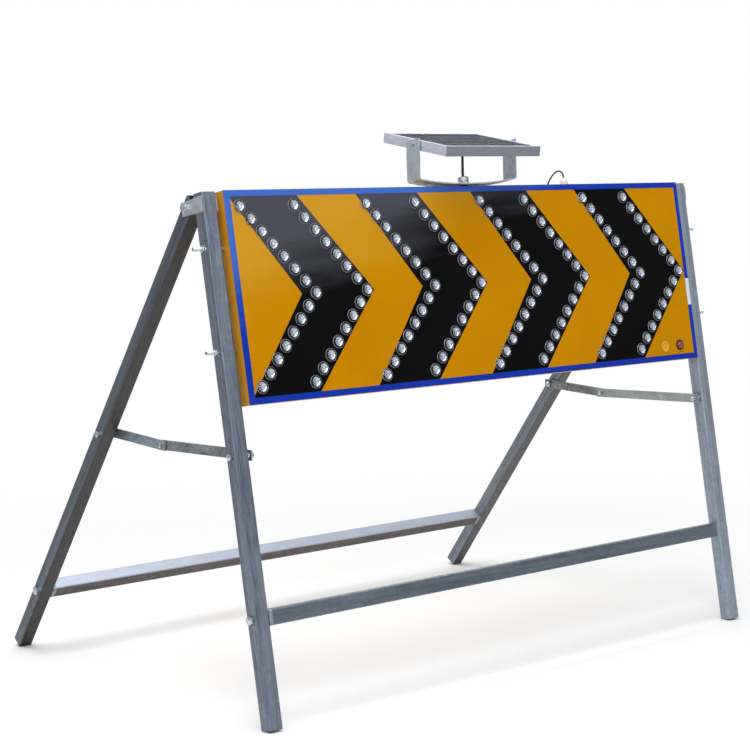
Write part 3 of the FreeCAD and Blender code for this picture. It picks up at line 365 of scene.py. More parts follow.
def pointed(shell, axis, at):
    """Lays a shell that was made along Z along another axis of its frame, from a point there."""
    points, faces = shell
    order = {"x": (2, 0, 1), "y": (0, 2, 1), "z": (0, 1, 2)}[axis[-1]]
    turned_points = points[:, order].copy()
    if axis[0] == "-":
        turned_points[:, order.index(2)] *= -1
    return turned_points + np.array(at, float), faces


def both_sides(shells):
    """The same shells on the sign's right and left sides."""
    return shells + [(points * (-1, 1, 1), faces) for points, faces in shells]


def piece(name, shells, own, material, body, replaced=(), sharp=32):
    """Joins shells into one mesh, turns their faces outwards, and gives it to its body."""
    points, faces, start, merge = [], [], 0, 0.00001
    for shell_points, shell_faces in shells:
        points.append(to_row(shell_points, own))
        faces += [[corner + start for corner in face] for face in shell_faces]
        start += len(shell_points)
    mesh = bpy.data.meshes.new(name)
    mesh.from_pydata(np.concatenate(points).tolist(), [], faces)
    work = bmesh.new()
    work.from_mesh(mesh)
    bmesh.ops.remove_doubles(work, verts=work.verts, dist=merge)
    bmesh.ops.dissolve_degenerate(work, edges=work.edges, dist=merge)
    bmesh.ops.recalc_face_normals(work, faces=work.faces)
    work.to_mesh(mesh)
    work.free()
    mesh.shade_smooth()
    mesh.set_sharp_from_angle(angle=math.radians(sharp))
    mesh.materials.append(material)
    made = bpy.data.objects.new(name, mesh)
    bpy.context.collection.objects.link(made)
    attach(made, body)
    if replaced:
        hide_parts(*replaced)
    return made


# Bright zinc plate: a cool silver, nearly mirror smooth, with fine turning marks and darker
# bloom in patches of about 4 mm.
zinc, tree = finish("bright_zinc_plate")
spot = add(tree, "TexCoord").outputs["Object"]
bloom = noise(tree, spot, 260.0, 3.0)
turning_marks = relief(tree, noise(tree, spot, 2500.0, 2.0), 0.00005)
surface(tree, blend_colours(tree, ramp(tree, bloom, 0.35, 0.7), "#d6dadf", "#8c929a"),
        ramp(tree, bloom, 0.3, 0.7, 0.16, 0.3), turning_marks, Metallic=1.0)


def bolt(at, flats, head, rod, flange=()):
    """A hex bolt on the sign's right side, from the underside of its head: the head, with a
    flange (radius, thickness) if it has one, and the rod that points to the sign's middle."""
    rings = [pointed(turned([(flange[0], 0), flange]), "x", at)] if flange else []
    return [pointed(hexed(flats, 0, head), "x", at), *rings, pointed(threaded(*rod), "-x", at)]


def fastener(name, shells, cad_node, own=FRONT_FRAME, body="front_frame"):
    """A zinc plated piece in place of the CAD's plain one."""
    return piece(name, shells, own, zinc, body, [cad_node])


for end, own, height in (("front", FRONT_FRAME, FRONT_CROSSBAR),
                         ("rear", REAR_FRAME, REAR_CROSSBAR)):
    screw = bolt((LEG_OUTER, TUBE_MIDDLE, height), 17, 6.4, (54, 10, 1.5, 24), (7.8, 0.5))
    fastener(f"{end}_crossbar_screws", both_sides(screw), f"{end}_crossbar_bolts", own,
             f"{end}_frame")

# Hinge cheeks. Flat galvanised steel plates on both sides of each front leg, fillet welded
# along three edges. The rear leg swings between each pair on a 10 mm bolt.
CHEEK_LOW, CHEEK_TOP, CHEEK_FRONT, WELD_END = 964, 991, 2, 28
CHEEK_FACE, CHEEK_INNER_FACE = 653.4, 616.6
dress(galvanised("galvanised_cheek_plate", FRONT_FRAME, (1, 1, 1),
                 ("#c2c8cf", "#a2aab3", "#8b939c")), "hinge_cheeks")


def bead(corners, size, around=10, each=3.0, ripple=2.1):
    """A weld bead along straight runs: a round tube whose radius swells once in each ripple of
    the torch, rounded off at its two ends."""
    corners = np.array(corners, float)
    runs = np.linalg.norm(np.diff(corners, axis=0), axis=1)
    reached = np.concatenate([[0], np.cumsum(runs)])
    travel = np.linspace(0, reached[-1], int(reached[-1] / ripple * each))
    line = np.column_stack([np.interp(travel, reached, corners[:, axis]) for axis in range(3)])
    swell = 1 + 0.16 * np.sin(2 * math.pi * travel / ripple) + 0.08 * np.sin(1.7 * travel)
    end = np.minimum(travel, reached[-1] - travel) / size
    radius = size * swell * np.sqrt(np.clip(end * (2 - end), 0.02, 1) * (end < 1) + (end >= 1))
    way = np.gradient(line, axis=0)
    way /= np.linalg.norm(way, axis=1)[:, None]
    first = np.cross(way, (1.0, 0.0, 0.0))
    first /= np.linalg.norm(first, axis=1)[:, None]
    second = np.cross(way, first)
    angle = np.arange(around) * 2 * math.pi / around
    ring = (first[:, None] * np.cos(angle)[None, :, None]
            + second[:, None] * np.sin(angle)[None, :, None])
    points = line[:, None] + radius[:, None, None] * ring
    return points.reshape(-1, 3), grid_faces(len(travel), around)


# Weld metal under a coat of zinc spray: dull and lumpy, with a grain of about 1.5 mm.
weld_steel, tree = finish("zinc_sprayed_weld")
lumps = noise(tree, add(tree, "TexCoord").outputs["Object"], 700.0, 3.0)
surface(tree, blend_colours(tree, ramp(tree, lumps, 0.35, 0.7), "#a9afb5", "#70767c"),
        ramp(tree, lumps, 0.3, 0.7, 0.35, 0.55), relief(tree, lumps, 0.0003), Metallic=0.85)
welds = []
for face in (LEG_OUTER + 0.9, LEG_INNER - 0.9):
    low, top = CHEEK_LOW - 0.4, CHEEK_TOP + 0.4
    welds.append(bead([(face, WELD_END, low), (face, CHEEK_FRONT + 0.2, low),
                       (face, CHEEK_FRONT - 0.2, top), (face, WELD_END, top)], 1.5))
piece("hinge_welds", both_sides(welds), FRONT_FRAME, weld_steel, "front_frame")

hinge_pin = bolt((CHEEK_FACE, *HINGE), 17, 6.4, (45.8, 10, 1.5, 34), (7.9, 0.5))
fastener("hinge_pins", both_sides(hinge_pin), "hinge_bolts")
hinge_nut = pointed(hexed(17, 0, 6, True), "-x", (CHEEK_INNER_FACE, *HINGE))
fastener("hinge_lock_nuts", both_sides([hinge_nut]), "hinge_nuts")

# Folding stays. On each side two flat galvanised bars meet at a 6 mm bolt, and each is held
# to its leg by an 8 mm bolt with a turned spacer and a nut.
STAY_REACH, STAY_SAG = 300, 9
FRONT_PIN, REAR_PIN = 509, 647
FRONT_BAR_FACES, REAR_BAR_FACES = (612, 609), (615.4, 612.4)
front_pin = to_row([(0, TUBE_MIDDLE, FRONT_PIN)], FRONT_FRAME)[0] * 1000
rear_pin = to_row([(0, TUBE_MIDDLE, REAR_PIN)], REAR_FRAME)[0] * 1000
pin_slope = math.atan2(rear_pin[2] - front_pin[2], rear_pin[1] - front_pin[1])
pin_run = math.hypot(rear_pin[2] - front_pin[2], rear_pin[1] - front_pin[1])
rest_of_run = pin_run - STAY_REACH
FRONT_BAR = (front_pin[1], front_pin[2], pin_slope - math.atan2(STAY_SAG, STAY_REACH))
REAR_BAR = (rear_pin[1], rear_pin[2], math.pi + pin_slope + math.atan2(STAY_SAG, rest_of_run))
front_length, rear_length = math.hypot(STAY_REACH, STAY_SAG), math.hypot(rest_of_run, STAY_SAG)
BAR_TONES = {
    ("front", "left"): ("#8f969e", "#4d545c", "#3a4047"),
    ("front", "right"): ("#b3b9b8", "#959b9a", "#7d7468"),
    ("rear", "left"): ("#9ba4ae", "#77818c", "#646d77"),
    ("rear", "right"): ("#8d8c8c", "#4a4849", "#39353a")}
for side_name, side in (("left", -1), ("right", 1)):
    for end, own in (("front", FRONT_BAR), ("rear", REAR_BAR)):
        dress(galvanised(f"galvanised_{end}_bar_{side_name}", own, (1, 0.3, 1),
                         BAR_TONES[end, side_name]), f"stay_{end}_link_{side_name}")
    screw = bolt((REAR_BAR_FACES[0], rear_length, 0), 10, 4, (3, 6, 1))
    nut = [pointed(hexed(10, 0, 5, True), "-x", (FRONT_BAR_FACES[1], front_length, 0)),
           pointed(threaded(10.5, 6, 1), "-x", (FRONT_BAR_FACES[0], front_length, 0))]
    for kind, cad_kind, end, own, shells in (("screw", "bolt", "rear", REAR_BAR, screw),
                                             ("locknut", "nut", "front", FRONT_BAR, nut)):
        fastener(f"stay_joint_{kind}_{side_name}",
                 [(points * (side, 1, 1), faces) for points, faces in shells],
                 f"stay_joint_{cad_kind}_{side_name}", own, f"stay_{end}_{side_name}")
for end, own, height, (outer, inner) in (("front", FRONT_FRAME, FRONT_PIN, FRONT_BAR_FACES),
                                         ("rear", REAR_FRAME, REAR_PIN, REAR_BAR_FACES)):
    rod = (LEG_OUTER - inner + 9.6, 8, 1.25, 32)
    nut = pointed(hexed(13, 0, 6.5, True), "-x", (inner - 0.1, TUBE_MIDDLE, height))
    low, high = outer + 0.1, LEG_INNER
    collar = turned([(4.3, low), (7.6, low), (8, low + 0.4), (8, high - 0.4), (7.6, high),
                     (4.3, high)])
    for kind, cad_kind, shells in (
            ("screws", "bolts", bolt((LEG_OUTER, TUBE_MIDDLE, height), 13, 5.3, rod)),
            ("locknuts", "nuts", [nut]),
            ("collars", "spacers", [pointed(collar, "x", (0, TUBE_MIDDLE, height))])):
        fastener(f"stay_{end}_{kind}", both_sides(shells), f"stay_{end}_{cad_kind}", own,
                 f"{end}_frame")

# Sign box. A folded and welded sheet steel tray, powder coated yellow, with a back cover of
# the same sheet on a rubber seal, held by twelve button head screws.
BOX_HALF, BOX_LOW, BOX_TOP, BOX_FRONT, BOX_BACK = 610, 600, 1000, -12, 43
BOX_CENTRE, BOX_MIDDLE = 800, 15.5

# Polyester powder coat: half gloss, with orange peel some 1.5 mm across and a little dust in
# patches of about 40 mm.
yellow_coat, tree = finish("yellow_powder_coat")
spot = add(tree, "TexCoord").outputs["Object"]
dust_and_sheen = noise(tree, spot, 24.0, 6.0, 0.6)
orange_peel = relief(tree, noise(tree, spot, 650.0, 2.0), 0.00008)
surface(tree, blend_colours(tree, ramp(tree, dust_and_sheen, 0.35, 0.7), "#d3951a", "#c98b13"),
        ramp(tree, dust_and_sheen, 0.3, 0.7, 0.34, 0.5), orange_peel)
dress(yellow_coat, "sign_tray", "rear_cover")


def moulded(name, light, dark, roughness, depth=0.00005, **sockets):
    """A moulded surface in rubber or plastic: a fine even grain, and a slow change of tone."""
    made, tree = finish(name)
    spot = add(tree, "TexCoord").outputs["Object"]
    slow = noise(tree, spot, 45.0, 4.0)
    grain = relief(tree, noise(tree, spot, 900.0, 2.0), depth)
    surface(tree, blend_colours(tree, ramp(tree, slow, 0.35, 0.65), light, dark),
            ramp(tree, slow, 0.3, 0.7, roughness - 0.05, roughness + 0.05), grain, **sockets)
    return made


black_rubber = moulded("black_epdm_rubber", "#1d1d1e", "#121213", 0.62)
dress(black_rubber, "cover_seal", "rubber_washer")
ROW_REACH, COLUMN_REACH = 190.5, 600.5
screw_spots = [(step * COLUMN_REACH / 2, BOX_CENTRE + rise)
               for step in (-2, -1, 0, 1, 2) for rise in (-ROW_REACH, ROW_REACH)]
screw_spots += [(-COLUMN_REACH, BOX_CENTRE), (COLUMN_REACH, BOX_CENTRE)]
button_head = [(2, -9), (2, 0), (4, 0), (4, 0.5), (3.7, 1.3), (3.0, 2.0), (2.0, 2.35), (1.5, 2.4),
               (1.5, 2.4, 2.5), (1.5, 0.9, 2.5)]
fastener("cover_button_screws", [pointed(turned(button_head, 24), "y", (across, BOX_BACK, rise))
                                 for across, rise in screw_spots], "cover_screws")

# Bolts that hang the box between the legs: each head is inside the box, a nut spaces the box
# off the leg, and a second nut is tightened on the leg's outer side.
HANGER_REACH, SHEET = 96, 1.5
hangers, hanger_nuts = [], []
for rise in (BOX_CENTRE - HANGER_REACH, BOX_CENTRE + HANGER_REACH):
    inside, at = (BOX_HALF - SHEET, TUBE_MIDDLE, rise), (0, TUBE_MIDDLE, rise)
    hangers += [pointed(hexed(13, 0, 5.3), "-x", inside),
                pointed(threaded(66.5, 8, 1.25), "x", inside)]
    hanger_nuts += [pointed(hexed(13, BOX_HALF, LEG_INNER, True), "x", at),
                    pointed(turned([(7.6, LEG_OUTER), (7.6, LEG_OUTER + 0.6)]), "x", at),
                    pointed(hexed(13, LEG_OUTER, LEG_OUTER + 6.5, True), "x", at)]
fastener("box_hanger_bolts", both_sides(hangers), "box_bolts")
fastener("box_hanger_nuts", both_sides(hanger_nuts), "box_nuts")


# Films on the face. Yellow glass bead sheeting, with black film chevrons and blue tape on
# it, all self-adhesive vinyl laid by hand, so they lie with a slow unevenness.
def vinyl(name, light, dark, roughness, gloss, sheen_tone):
    """Self-adhesive sheeting: gloss over fine beads, with waves of about 60 mm that bend its
    reflections a little. A painted sheen, a reflection painted into its colour with a streaky
    edge, pales it towards the sign's upper left."""
    made, tree = finish(name)
    spot = add(tree, "TexCoord").outputs["Object"]
    film_tone = blend_colours(tree, ramp(tree, noise(tree, spot, 5.0, 3.0), 0.3, 0.7), light, dark)
    sheen_streak_space = add(tree, "Mapping", {"Vector": spot, "Scale": (4, 4, 22),
                                  "Rotation": (0, 0.2, 0)}).outputs[0]
    sheen_edge_jitter = ramp(tree, noise(tree, sheen_streak_space, 1.0, 5.0, 0.6), 0.3, 0.7, -0.035, 0.035)
    axes = add(tree, "SeparateXYZ", {0: spot}).outputs
    upper_left = maths(tree, "MULTIPLY_ADD", axes["X"], -0.275, axes["Z"])
    # Mask of the painted sheen: it grows towards the sign's upper left, with a streaky edge.
    dust_and_sheen = ramp(tree, maths(tree, "ADD", upper_left, sheen_edge_jitter), 0.90, 1.03)
    waves = relief(tree, noise(tree, spot, 9.0, 2.0), 0.0012)
    beads = add(tree, "TexVoronoi", {"Vector": spot, "Scale": 1400.0}).outputs["Distance"]
    surface(tree, blend_colours(tree, dust_and_sheen, film_tone, sheen_tone), roughness,
            relief(tree, beads, 0.00002, waves), Specular_IOR_Level=gloss)
    return made


def wrapped(inner, under, over, rounding=2):
    """The outline of a strip that lies flat on the face from its inner edge to the box's 2 mm
    round, then follows the round for 80 degrees: (distance in from the box's side, Y)."""
    turn = np.radians(np.linspace(0, 80, 9))
    centre = BOX_FRONT + rounding
    outline = [np.array([[inner, over]])]
    for way, face in ((1, over), (-1, under)):
        radius = centre - face - 0.35 * turn / turn[-1]
        outline.append(np.column_stack([rounding - radius * np.sin(turn),
                                        centre - radius * np.cos(turn)])[::way])
    return np.concatenate(outline + [np.array([[inner, under]])])


def framed(outline, width, height, middle=0.0):
    """Carries an outline of (distance in, depth) round a rectangle, with mitred corners, as
    (across, depth, up)."""
    inward, depth = np.array(outline, float).T
    rings = [np.column_stack([x_side * (width / 2 - inward), depth,
                              middle + z_side * (height / 2 - inward)])
             for x_side, z_side in ((-1, -1), (1, -1), (1, 1), (-1, 1))]
    count = len(inward)
    row, step = np.meshgrid(np.arange(4) * count, np.arange(count), indexing="ij")
    beside, next_row = (step + 1) % count, (row + count) % (4 * count)
    quads = np.stack([row + step, row + beside, next_row + beside, next_row + step], axis=-1)
    return np.concatenate(rings), quads.reshape(-1, 4).tolist()


FILM_FACE, BLACK_FACE, TAPE_FACE, PATCH_FACE = -12.4, -12.7, -12.8, -13.0
TAPE_WIDTH = 12
PATCH_LOW, PATCH_HIGH = 721, 781
# The last colour given to each film is its painted sheen, a reflection painted in at the sign's
# upper left.
dress(vinyl("yellow_bead_sheeting", "#c08300", "#b97b00", 0.5, 0.03, "#c28d24"), "yellow_film")
dress(vinyl("black_vinyl_film", "#050506", "#030304", 0.36, 0.05, "#45454e"), "black_chevrons")
blue_vinyl = vinyl("blue_vinyl_tape", "#0d34a6", "#0a2c92", 0.35, 0.1, "#3a62b4")
tape = framed(wrapped(TAPE_WIDTH, FILM_FACE, TAPE_FACE), 2 * BOX_HALF, BOX_TOP - BOX_LOW,
              BOX_CENTRE)
piece("edge_tape", [tape], FRONT_FRAME, blue_vinyl, "front_frame", ["blue_edge_tape"])
inward, depth = wrapped(TAPE_WIDTH, TAPE_FACE, PATCH_FACE).T
patch_rings = [np.column_stack([BOX_HALF - inward, depth, height + 0 * inward])
               for height in (PATCH_LOW, PATCH_HIGH)]
piece("repair_patch", [(np.concatenate(patch_rings), grid_faces(2, len(inward)))], FRONT_FRAME,
      vinyl("white_vinyl_patch", "#dde1e9", "#c3c8d1", 0.5, 0.3, "#dde1e9"),
      "front_frame", ["white_patch"])

# Laps at the tape's corners, where one strip was laid over the end of the next and puckered.
# Each is a grid of points, closed by a flat grid under it and walls round the rim.
LAP_GRID = 15
LAP_POINTS = LAP_GRID * LAP_GRID
u, w = np.meshgrid(np.linspace(0, 1, LAP_GRID), np.linspace(0, 1, LAP_GRID), indexing="ij")
edge = np.minimum.reduce([u, 1 - u, w, 1 - w]) > 0.01
row, step = np.meshgrid(np.arange(LAP_GRID - 1), np.arange(LAP_GRID - 1), indexing="ij")
corner = row * LAP_GRID + step
lap_quads = np.stack([corner, corner + 1, corner + LAP_GRID + 1, corner + LAP_GRID],
                     axis=-1).reshape(-1, 4)
rim = np.concatenate([np.arange(LAP_GRID), np.arange(1, LAP_GRID) * LAP_GRID + LAP_GRID - 1,
                      LAP_POINTS - 1 - np.arange(1, LAP_GRID),
                      np.arange(LAP_GRID - 2, 0, -1) * LAP_GRID])
lap_walls = [[a, b, b + LAP_POINTS, a + LAP_POINTS]
             for a, b in zip(rim.tolist(), np.roll(rim, -1).tolist())]
laps = []
for x_side in (-1, 1):
    for z_side, base in ((-1, BOX_LOW), (1, BOX_TOP)):
        across = x_side * (607 - 9.4 * u)
        rise = base - z_side * (3.2 + 10.5 * w)
        pucker = (0.10 + 0.16 * np.maximum(0, np.sin(9 * u + 4 * w + x_side)) * w
                  + 0.06 * np.sin(17 * w))
        top = np.stack([across, TAPE_FACE - np.maximum(pucker, 0.04) * edge, rise],
                       axis=-1).reshape(-1, 3)
        bottom = top.copy()
        bottom[:, 1] = TAPE_FACE + 0.05
        laps.append((np.concatenate([top, bottom]),
                     lap_quads.tolist() + (lap_quads[:, ::-1] + LAP_POINTS).tolist() + lap_walls))
piece("tape_laps", laps, FRONT_FRAME, blue_vinyl, "front_frame")

# Lights. 120 lamps on the chevrons, in lines of fifteen that follow each chevron's front and
# middle. Each is a clear moulded lens with a faceted skirt, over a chromed reflector.
FIRST_TIP, TIP_PITCH = -289.5, 295.4
LAMP_FROM_TIP, LINE_PITCH = 17.1, 123
LAMP_BACK, LAMP_RISE = 21.4, 24.15
lamp_spots = [(FIRST_TIP + TIP_PITCH * number - LAMP_FROM_TIP - line * LINE_PITCH
               - abs(step) * LAMP_BACK, BLACK_FACE, BOX_CENTRE + step * LAMP_RISE)
              for number in range(4) for line in (1, 0) for step in range(-7, 8)]


def clear_plastic(name, tint, haze_tint, roughness):
    """Clear acrylic, injection moulded: it shows what is under it, with a thin milky haze."""
    made, tree = finish(name)
    haze = noise(tree, add(tree, "TexCoord").outputs["Object"], 300.0, 3.0)
    surface(tree, blend_colours(tree, ramp(tree, haze, 0.3, 0.7), tint, haze_tint),
            ramp(tree, haze, 0.3, 0.7, roughness, roughness + 0.05), None,
            Transmission_Weight=1.0, IOR=1.49)
    return made


# Vacuum metallised plastic: a cool mirror, with spun marks about 2 mm apart.
chrome_cup, tree = finish("vacuum_metallised_reflector")
spun = noise(tree, add(tree, "TexCoord").outputs["Object"], 500.0, 2.0)
surface(tree, blend_colours(tree, ramp(tree, spun, 0.3, 0.7), "#dfe4ec", "#a3aab7"),
        ramp(tree, spun, 0.3, 0.7, 0.12, 0.22), relief(tree, spun, 0.0001), Metallic=1.0)
lamp_parts = {
    "skirts": (looped(turned([(9.3, 0), (12.4, 0), (12.4, 0.8), (9.3, 1.6)], 18), 18),
               clear_plastic("clear_acrylic_skirt", "#ffffff", "#e4e9f0", 0.03), 25),
    "rims": (looped(turned([(12.4, 0), (13, 0.1), (13, 1.1), (12.7, 1.4), (12.4, 1.1)], 18), 18),
             moulded("frosted_acrylic_rim", "#9aa0aa", "#7d838d", 0.35), 50),
    "domes": (turned([(9.2, 0.3), (9.2, 2.9), (8.4, 4.0), (6.1, 4.8), (2.8, 5.0)], 18),
              clear_plastic("clear_acrylic_dome", "#ffffff", "#f2f5fa", 0.0), 50),
    "reflectors": (turned([(9.3, 0.1), (9.3, 2.6), (8.0, 2.3), (5.2, 1.0), (3.0, 0.7),
                           (2.2, 0.8)], 12), chrome_cup, 30),
    "emitters": (turned([(2.4, 0.5), (2.4, 1.9), (1.8, 2.7), (0.7, 3.0)], 10),
                 moulded("milky_epoxy_emitter", "#eef1f6", "#dde1e8", 0.3), 50)}
for name, (shell, material, sharp) in lamp_parts.items():
    piece(f"lamp_{name}", [pointed(shell, "-y", at) for at in lamp_spots], FRONT_FRAME, material,
          "front_frame", ["led_lenses"], sharp)
dress(moulded("green_circuit_board", "#1f5a35", "#17482a", 0.4), "led_boards", "flasher_board")

# Push button and blanking cap. A domed red cap runs in a black nylon bezel with a ring nut
# behind the face, and a yellow plug fills the hole beside it.
BUTTON, BLANK = (554.4, FILM_FACE, 632.2), (507.8, FILM_FACE, 632.2)
black_nylon = moulded("black_nylon", "#232325", "#161618", 0.38)
bezel_rings = [(9.5, -20), (9.5, 0), (11.6, 0), (12.0, 0.5), (11.8, 1.7), (11.0, 2.4), (9.4, 2.5),
               (8.3, 1.9), (8.0, 1.2), (8.0, -10.8)]
piece("button_surround", [pointed(turned(bezel_rings, 64), "-y", BUTTON)], FRONT_FRAME, black_nylon,
      "front_frame", ["button_bezel"])
cap_rings = [(7.7, -8), (7.7, 2.4), (7.4, 3.3), (6.4, 4.1), (4.6, 4.7), (2.3, 5.0), (0.05, 5.05)]
piece("button_cap", [pointed(turned(cap_rings, 64), "-y", BUTTON)], FRONT_FRAME,
      moulded("red_polycarbonate_cap", "#a51016", "#7d080d", 0.16, 0.00001, Coat_Weight=0.8),
      "power_button", ["power_button"], sharp=50)
blank_rings = [(9, -6), (9, 0), (12.2, 0), (12.5, 0.35), (12.2, 0.9), (11.0, 1.2), (10.2, 1.05),
               (9.0, 0.85), (0.05, 0.8)]
piece("hole_plug", [pointed(turned(blank_rings, 64), "-y", BLANK)], FRONT_FRAME,
      moulded("yellow_polyethylene_plug", "#dda018", "#cb8f0c", 0.33),
      "front_frame", ["blanking_cap"], sharp=50)
dress(black_nylon, "button_nut")

# Inside the box: a sealed battery in shrink sleeve, its zinc plated clamp, and the flasher's
# board on four brass standoffs, all on the back cover.
dress(moulded("black_shrink_sleeve", "#26272a", "#1a1b1e", 0.33), "battery_pack")
dress(zinc, "battery_clamp", "board_standoffs")

# Cable glands. White nylon: a hexagon base, a fluted dome nut and a rubber grommet round the
# lead, one on the box's top and one on its back.
GLAND_TOP, GLAND_REAR = (287, BOX_MIDDLE, BOX_TOP), (280, BOX_BACK, 950)
GLAND_FLATS, GLAND_CORNER = 16, 9.24


def dome_nut(around=72, flutes=12):
    """A dome nut: a turned profile whose radius dips at each flute below the dome's shoulder."""
    profile = np.array([(6.0, 5.6), (7.9, 5.8), (8.0, 6.4), (7.9, 10.5), (7.3, 12.6), (6.2, 15.0),
                        (5.2, 17.0), (4.7, 18.0), (3.2, 18.0), (2.6, 17.2)])
    angle = np.arange(around) * 2 * math.pi / around
    dip = 0.45 * np.clip(np.cos(flutes * angle), 0, 1) ** 2
    depth = np.interp(profile[:, 1], (5.9, 6.6, 10.5, 13.0), (0, 1, 1, 0))[:, None] * dip[None, :]
    radius = profile[:, :1] - depth
    points = np.stack([radius * np.cos(angle), radius * np.sin(angle),
                       profile[:, 1:] + 0 * radius], axis=-1)
    return points.reshape(-1, 3), grid_faces(len(profile), around)


white_nylon = moulded("white_nylon_66", "#dcdcd8", "#cbcac5", 0.42)
gland_base = [(6, -7), (6, 0), (7.6, 0), (GLAND_CORNER - 0.5, 0.05, GLAND_FLATS),
              (GLAND_CORNER, 0.6, GLAND_FLATS), (GLAND_CORNER, 5.0, GLAND_FLATS),
              (8.6, 5.6, GLAND_FLATS)]
grommet = [(4.4, 12), (4.4, 17.5), (3.6, 18.3), (2.1, 18.1), (2.05, 12.2)]
glands, grommets = [], []
for axis, at in (("z", GLAND_TOP), ("y", GLAND_REAR)):
    glands += [pointed(turned(gland_base), axis, at), pointed(dome_nut(), axis, at)]
    grommets.append(pointed(turned(grommet, 32), axis, at))
piece("gland_bodies", glands, FRONT_FRAME, white_nylon, "front_frame",
      ["cable_glands"])
piece("gland_grommets", grommets, FRONT_FRAME, black_rubber, "front_frame")
dress(white_nylon, "gland_nuts")


# Leads. Round black PVC sheath. The thin one joins the two glands, over the box's rear top
# edge; the thicker one comes down from the panel's junction box into the hollow stud.
def sheathed(name, route, diameter, own, material, cad_node):
    """A lead on one smooth spline through the points of its route, in metres."""
    line = bpy.data.curves.new(name, "CURVE")
    line.dimensions = "3D"
    spline = line.splines.new("NURBS")
    spline.points.add(len(route) - 1)
    for held, spot in zip(spline.points, to_row(route, own)):
        held.co = (*spot, 1)
    spline.order_u = 3
    spline.use_endpoint_u = True
    line.bevel_depth = diameter / 2000
    line.bevel_resolution = 6
    line.resolution_u = 16
    line.use_fill_caps = True
    line.materials.append(material)
    made = bpy.data.objects.new(name, line)
    bpy.context.collection.objects.link(made)
    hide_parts(cad_node)
    return made


sheath = moulded("black_pvc_sheath", "#19191b", "#101011", 0.36)
LINK_ROUTE = [(287, 15.5, 1018), (287, 15.7, 1025.3), (286.6, 18.9, 1031.7), (286, 25.6, 1035.7),
              (285.2, 35.6, 1035.6), (284.2, 47.5, 1029), (283, 59, 1018), (282, 69, 1004),
              (281, 77, 988.5), (280.3, 80.5, 972), (280, 77.5, 959), (280, 70, 951.2),
              (280, 61, 950)]
link = sheathed("thin_lead", LINK_ROUTE, 3.5, FRONT_FRAME, sheath, "link_lead")
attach(link, "front_frame")
PANEL_ROUTE = [(0, 15.5, 1006), (0, 15.5, 1026), (0.6, 12.5, 1046), (-0.4, 8.2, 1065),
               (0, 4.6, 1084)]
drop = sheathed("panel_drop_lead", PANEL_ROUTE, 5.5, FRONT_FRAME, sheath,
                "panel_lead")
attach(drop, "solar_bracket")

# Hollow stud. Zinc plated M12 tube, through the box's top: a nut inside, a rubber washer
# under the strap, and a lock nut with a tall nut over it.
STUD_LOW, STRAP_TOP, STUD_TOP = BOX_TOP - 14, 1008, 1024
HALF_PITCH, CREST, ROOT, BORE = 0.875, 6.0, 5.45, 3.5
thread_rings = [(ROOT if number % 2 == 0 else CREST, STUD_LOW + 0.5 + HALF_PITCH * number)
                for number in range(43)]
stud_rings = [(BORE, STUD_LOW), (5.4, STUD_LOW), *thread_rings, (5.4, STUD_TOP), (BORE, STUD_TOP)]
at_stud = (0, BOX_MIDDLE, 0)
fastener("threaded_stud", [pointed(looped(turned(stud_rings, 32), 32), "z", at_stud)],
         "hollow_stud")


def holed(flats, low, high, bore):
    """A chamfered nut with its bore open: the hexagon's rings, and a plain round wall inside."""
    return looped(turned([(bore, low), *chamfered(flats, low, high, 0.08), (bore, high)]))


stud_nuts = ((BOX_TOP - 7.5, BOX_TOP - 1.5), (STRAP_TOP, STRAP_TOP + 5.5),
             (STRAP_TOP + 5.6, STUD_TOP - 1))
fastener("stud_hexagons", [pointed(holed(20, low, high, 5.9), "z", at_stud)
                           for low, high in stud_nuts], "stud_nuts")

# Strap. Flat galvanised steel, bowed down between two arms that stand plumb, with the
# panel's pivot bolts through the arms' tops.
dress(galvanised("galvanised_strap", FRONT_FRAME, (0.3, 1, 0.3),
                 ("#c3ccd8", "#a8b2bf", "#96a0ae")), "solar_strap")

# Solar panel. Mitred frame of anodised aluminium, with a glass laminate of 36 dark cells
# held under its lip, and a black junction box on the back.
ARM_BEND, ARM_RISE = 1020.8664, 68.5
PANEL_TILT = math.radians(10)
PANEL_WIDTH, PANEL_DEPTH = 253, 202
pivot = to_row([(0, BOX_MIDDLE - ARM_RISE * math.sin(LEAN),
                 ARM_BEND + ARM_RISE * math.cos(LEAN))], FRONT_FRAME)[0] * 1000
PANEL_FRAME = (pivot[1], pivot[2], PANEL_TILT)

# Satin anodised aluminium, with extrusion lines, painted shade that darkens its front edge, and a
# fine dark line at each mitre.
anodised, tree = finish("silver_anodised_aluminium")
drawn = noise(tree, own_coordinates(tree, PANEL_FRAME, (0.05, 0.05, 1)), 900.0, 3.0)
axes = add(tree, "SeparateXYZ", {0: own_coordinates(tree, PANEL_FRAME)}).outputs
reach = [maths(tree, "SUBTRACT", size / 2000, maths(tree, "ABSOLUTE", axes[axis]))
         for axis, size in (("X", PANEL_WIDTH), ("Y", PANEL_DEPTH))]
mitre = maths(tree, "LESS_THAN",
              maths(tree, "ABSOLUTE", maths(tree, "SUBTRACT", *reach)), 0.0003)
joint_line = maths(tree, "MULTIPLY", mitre, maths(tree, "LESS_THAN", reach[0], 0.012))
lines = ramp(tree, drawn, 0.3, 0.7)
# The front face's darker colours are painted shade.
satin = blend_colours(tree, ramp(tree, axes["Y"], -0.1004, -0.1008),
                      blend_colours(tree, lines, "#c6cbdc", "#b4b9ca"),
                      blend_colours(tree, lines, "#8b8f9a", "#7e828d"))
surface(tree, blend_colours(tree, joint_line, satin, "#5a5a62"), 0.42,
        relief(tree, drawn, 0.00004), Metallic=0.55)
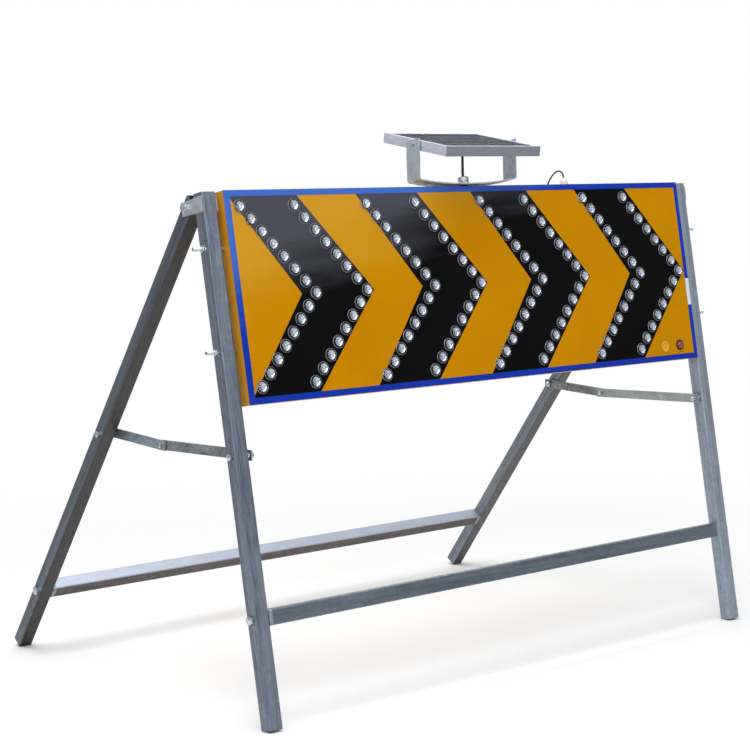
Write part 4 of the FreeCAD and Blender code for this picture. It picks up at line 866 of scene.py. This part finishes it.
frame_outline = [(0, -9.7), (0, 10.0), (0.15, 10.35), (0.5, 10.5), (8.7, 10.5), (9, 10.2),
                 (9, 9.05), (2, 9.0), (2, 5.8), (9, 5.75), (9, 4.3), (2, 4.3), (2, -8.5),
                 (13.8, -8.5), (14, -8.7), (14, -9.8), (13.8, -10), (0.3, -10)]
frame_points, frame_faces = framed(frame_outline, PANEL_WIDTH, PANEL_DEPTH)
piece("panel_extrusion", [(frame_points[:, (0, 2, 1)], frame_faces)], PANEL_FRAME, anodised,
      "solar_panel", ["panel_frame"])

# Monocrystalline cells under textured glass: near black with a blue cast, in a grid of pale
# gaps, with bus bars 13 mm apart and fine fingers across them.
cells, tree = finish("monocrystalline_laminate")
shifted = add(tree, "Mapping", {"Vector": own_coordinates(tree, PANEL_FRAME),
                                "Location": (0.117, 0.092, 0)}).outputs[0]


def ruled(colours, line, width, height):
    """Bricks in two colours with lines of a third between them, and their sizes in metres."""
    sizes = {"Scale": 1.0, "Mortar Size": line, "Brick Width": width, "Row Height": height}
    tints = dict(zip(("Color1", "Color2", "Mortar"), map(linear, colours)))
    return add(tree, "TexBrick", {"Vector": shifted, **tints, **sizes, "Mortar Smooth": 0.0,
                                  "Bias": 0.0}, offset=0.0).outputs[0]


MASK = ("#000000", "#000000", "#ffffff")
laminate = ruled(("#10131c", "#161a26", "#8d929c"), 0.0007, 0.026, 0.046)
bars = ruled(MASK, 0.0005, 0.013, 0.9)
fingers = ruled(MASK, 0.00025, 0.9, 0.0023)
laminate = blend_colours(tree, ramp(tree, fingers, 0, 1, 0, 0.15), laminate, "#7d848f")
laminate = blend_colours(tree, ramp(tree, bars, 0, 1, 0, 0.5), laminate, "#8c919b")
surface(tree, laminate, 0.6, None, Specular_IOR_Level=0.04)
dress(cells, "solar_laminate")
dress(black_nylon, "junction_box")

PIVOT_FACE = 132.6
fastener("panel_pivot_screws",
         both_sides(bolt((PIVOT_FACE, 0, 0), 8, 3.5, (8.1, 5, 0.8), (5.0, 0.4))),
         "panel_pivot_bolts", PANEL_FRAME, "solar_panel")
dress(white_nylon, "panel_spacers")
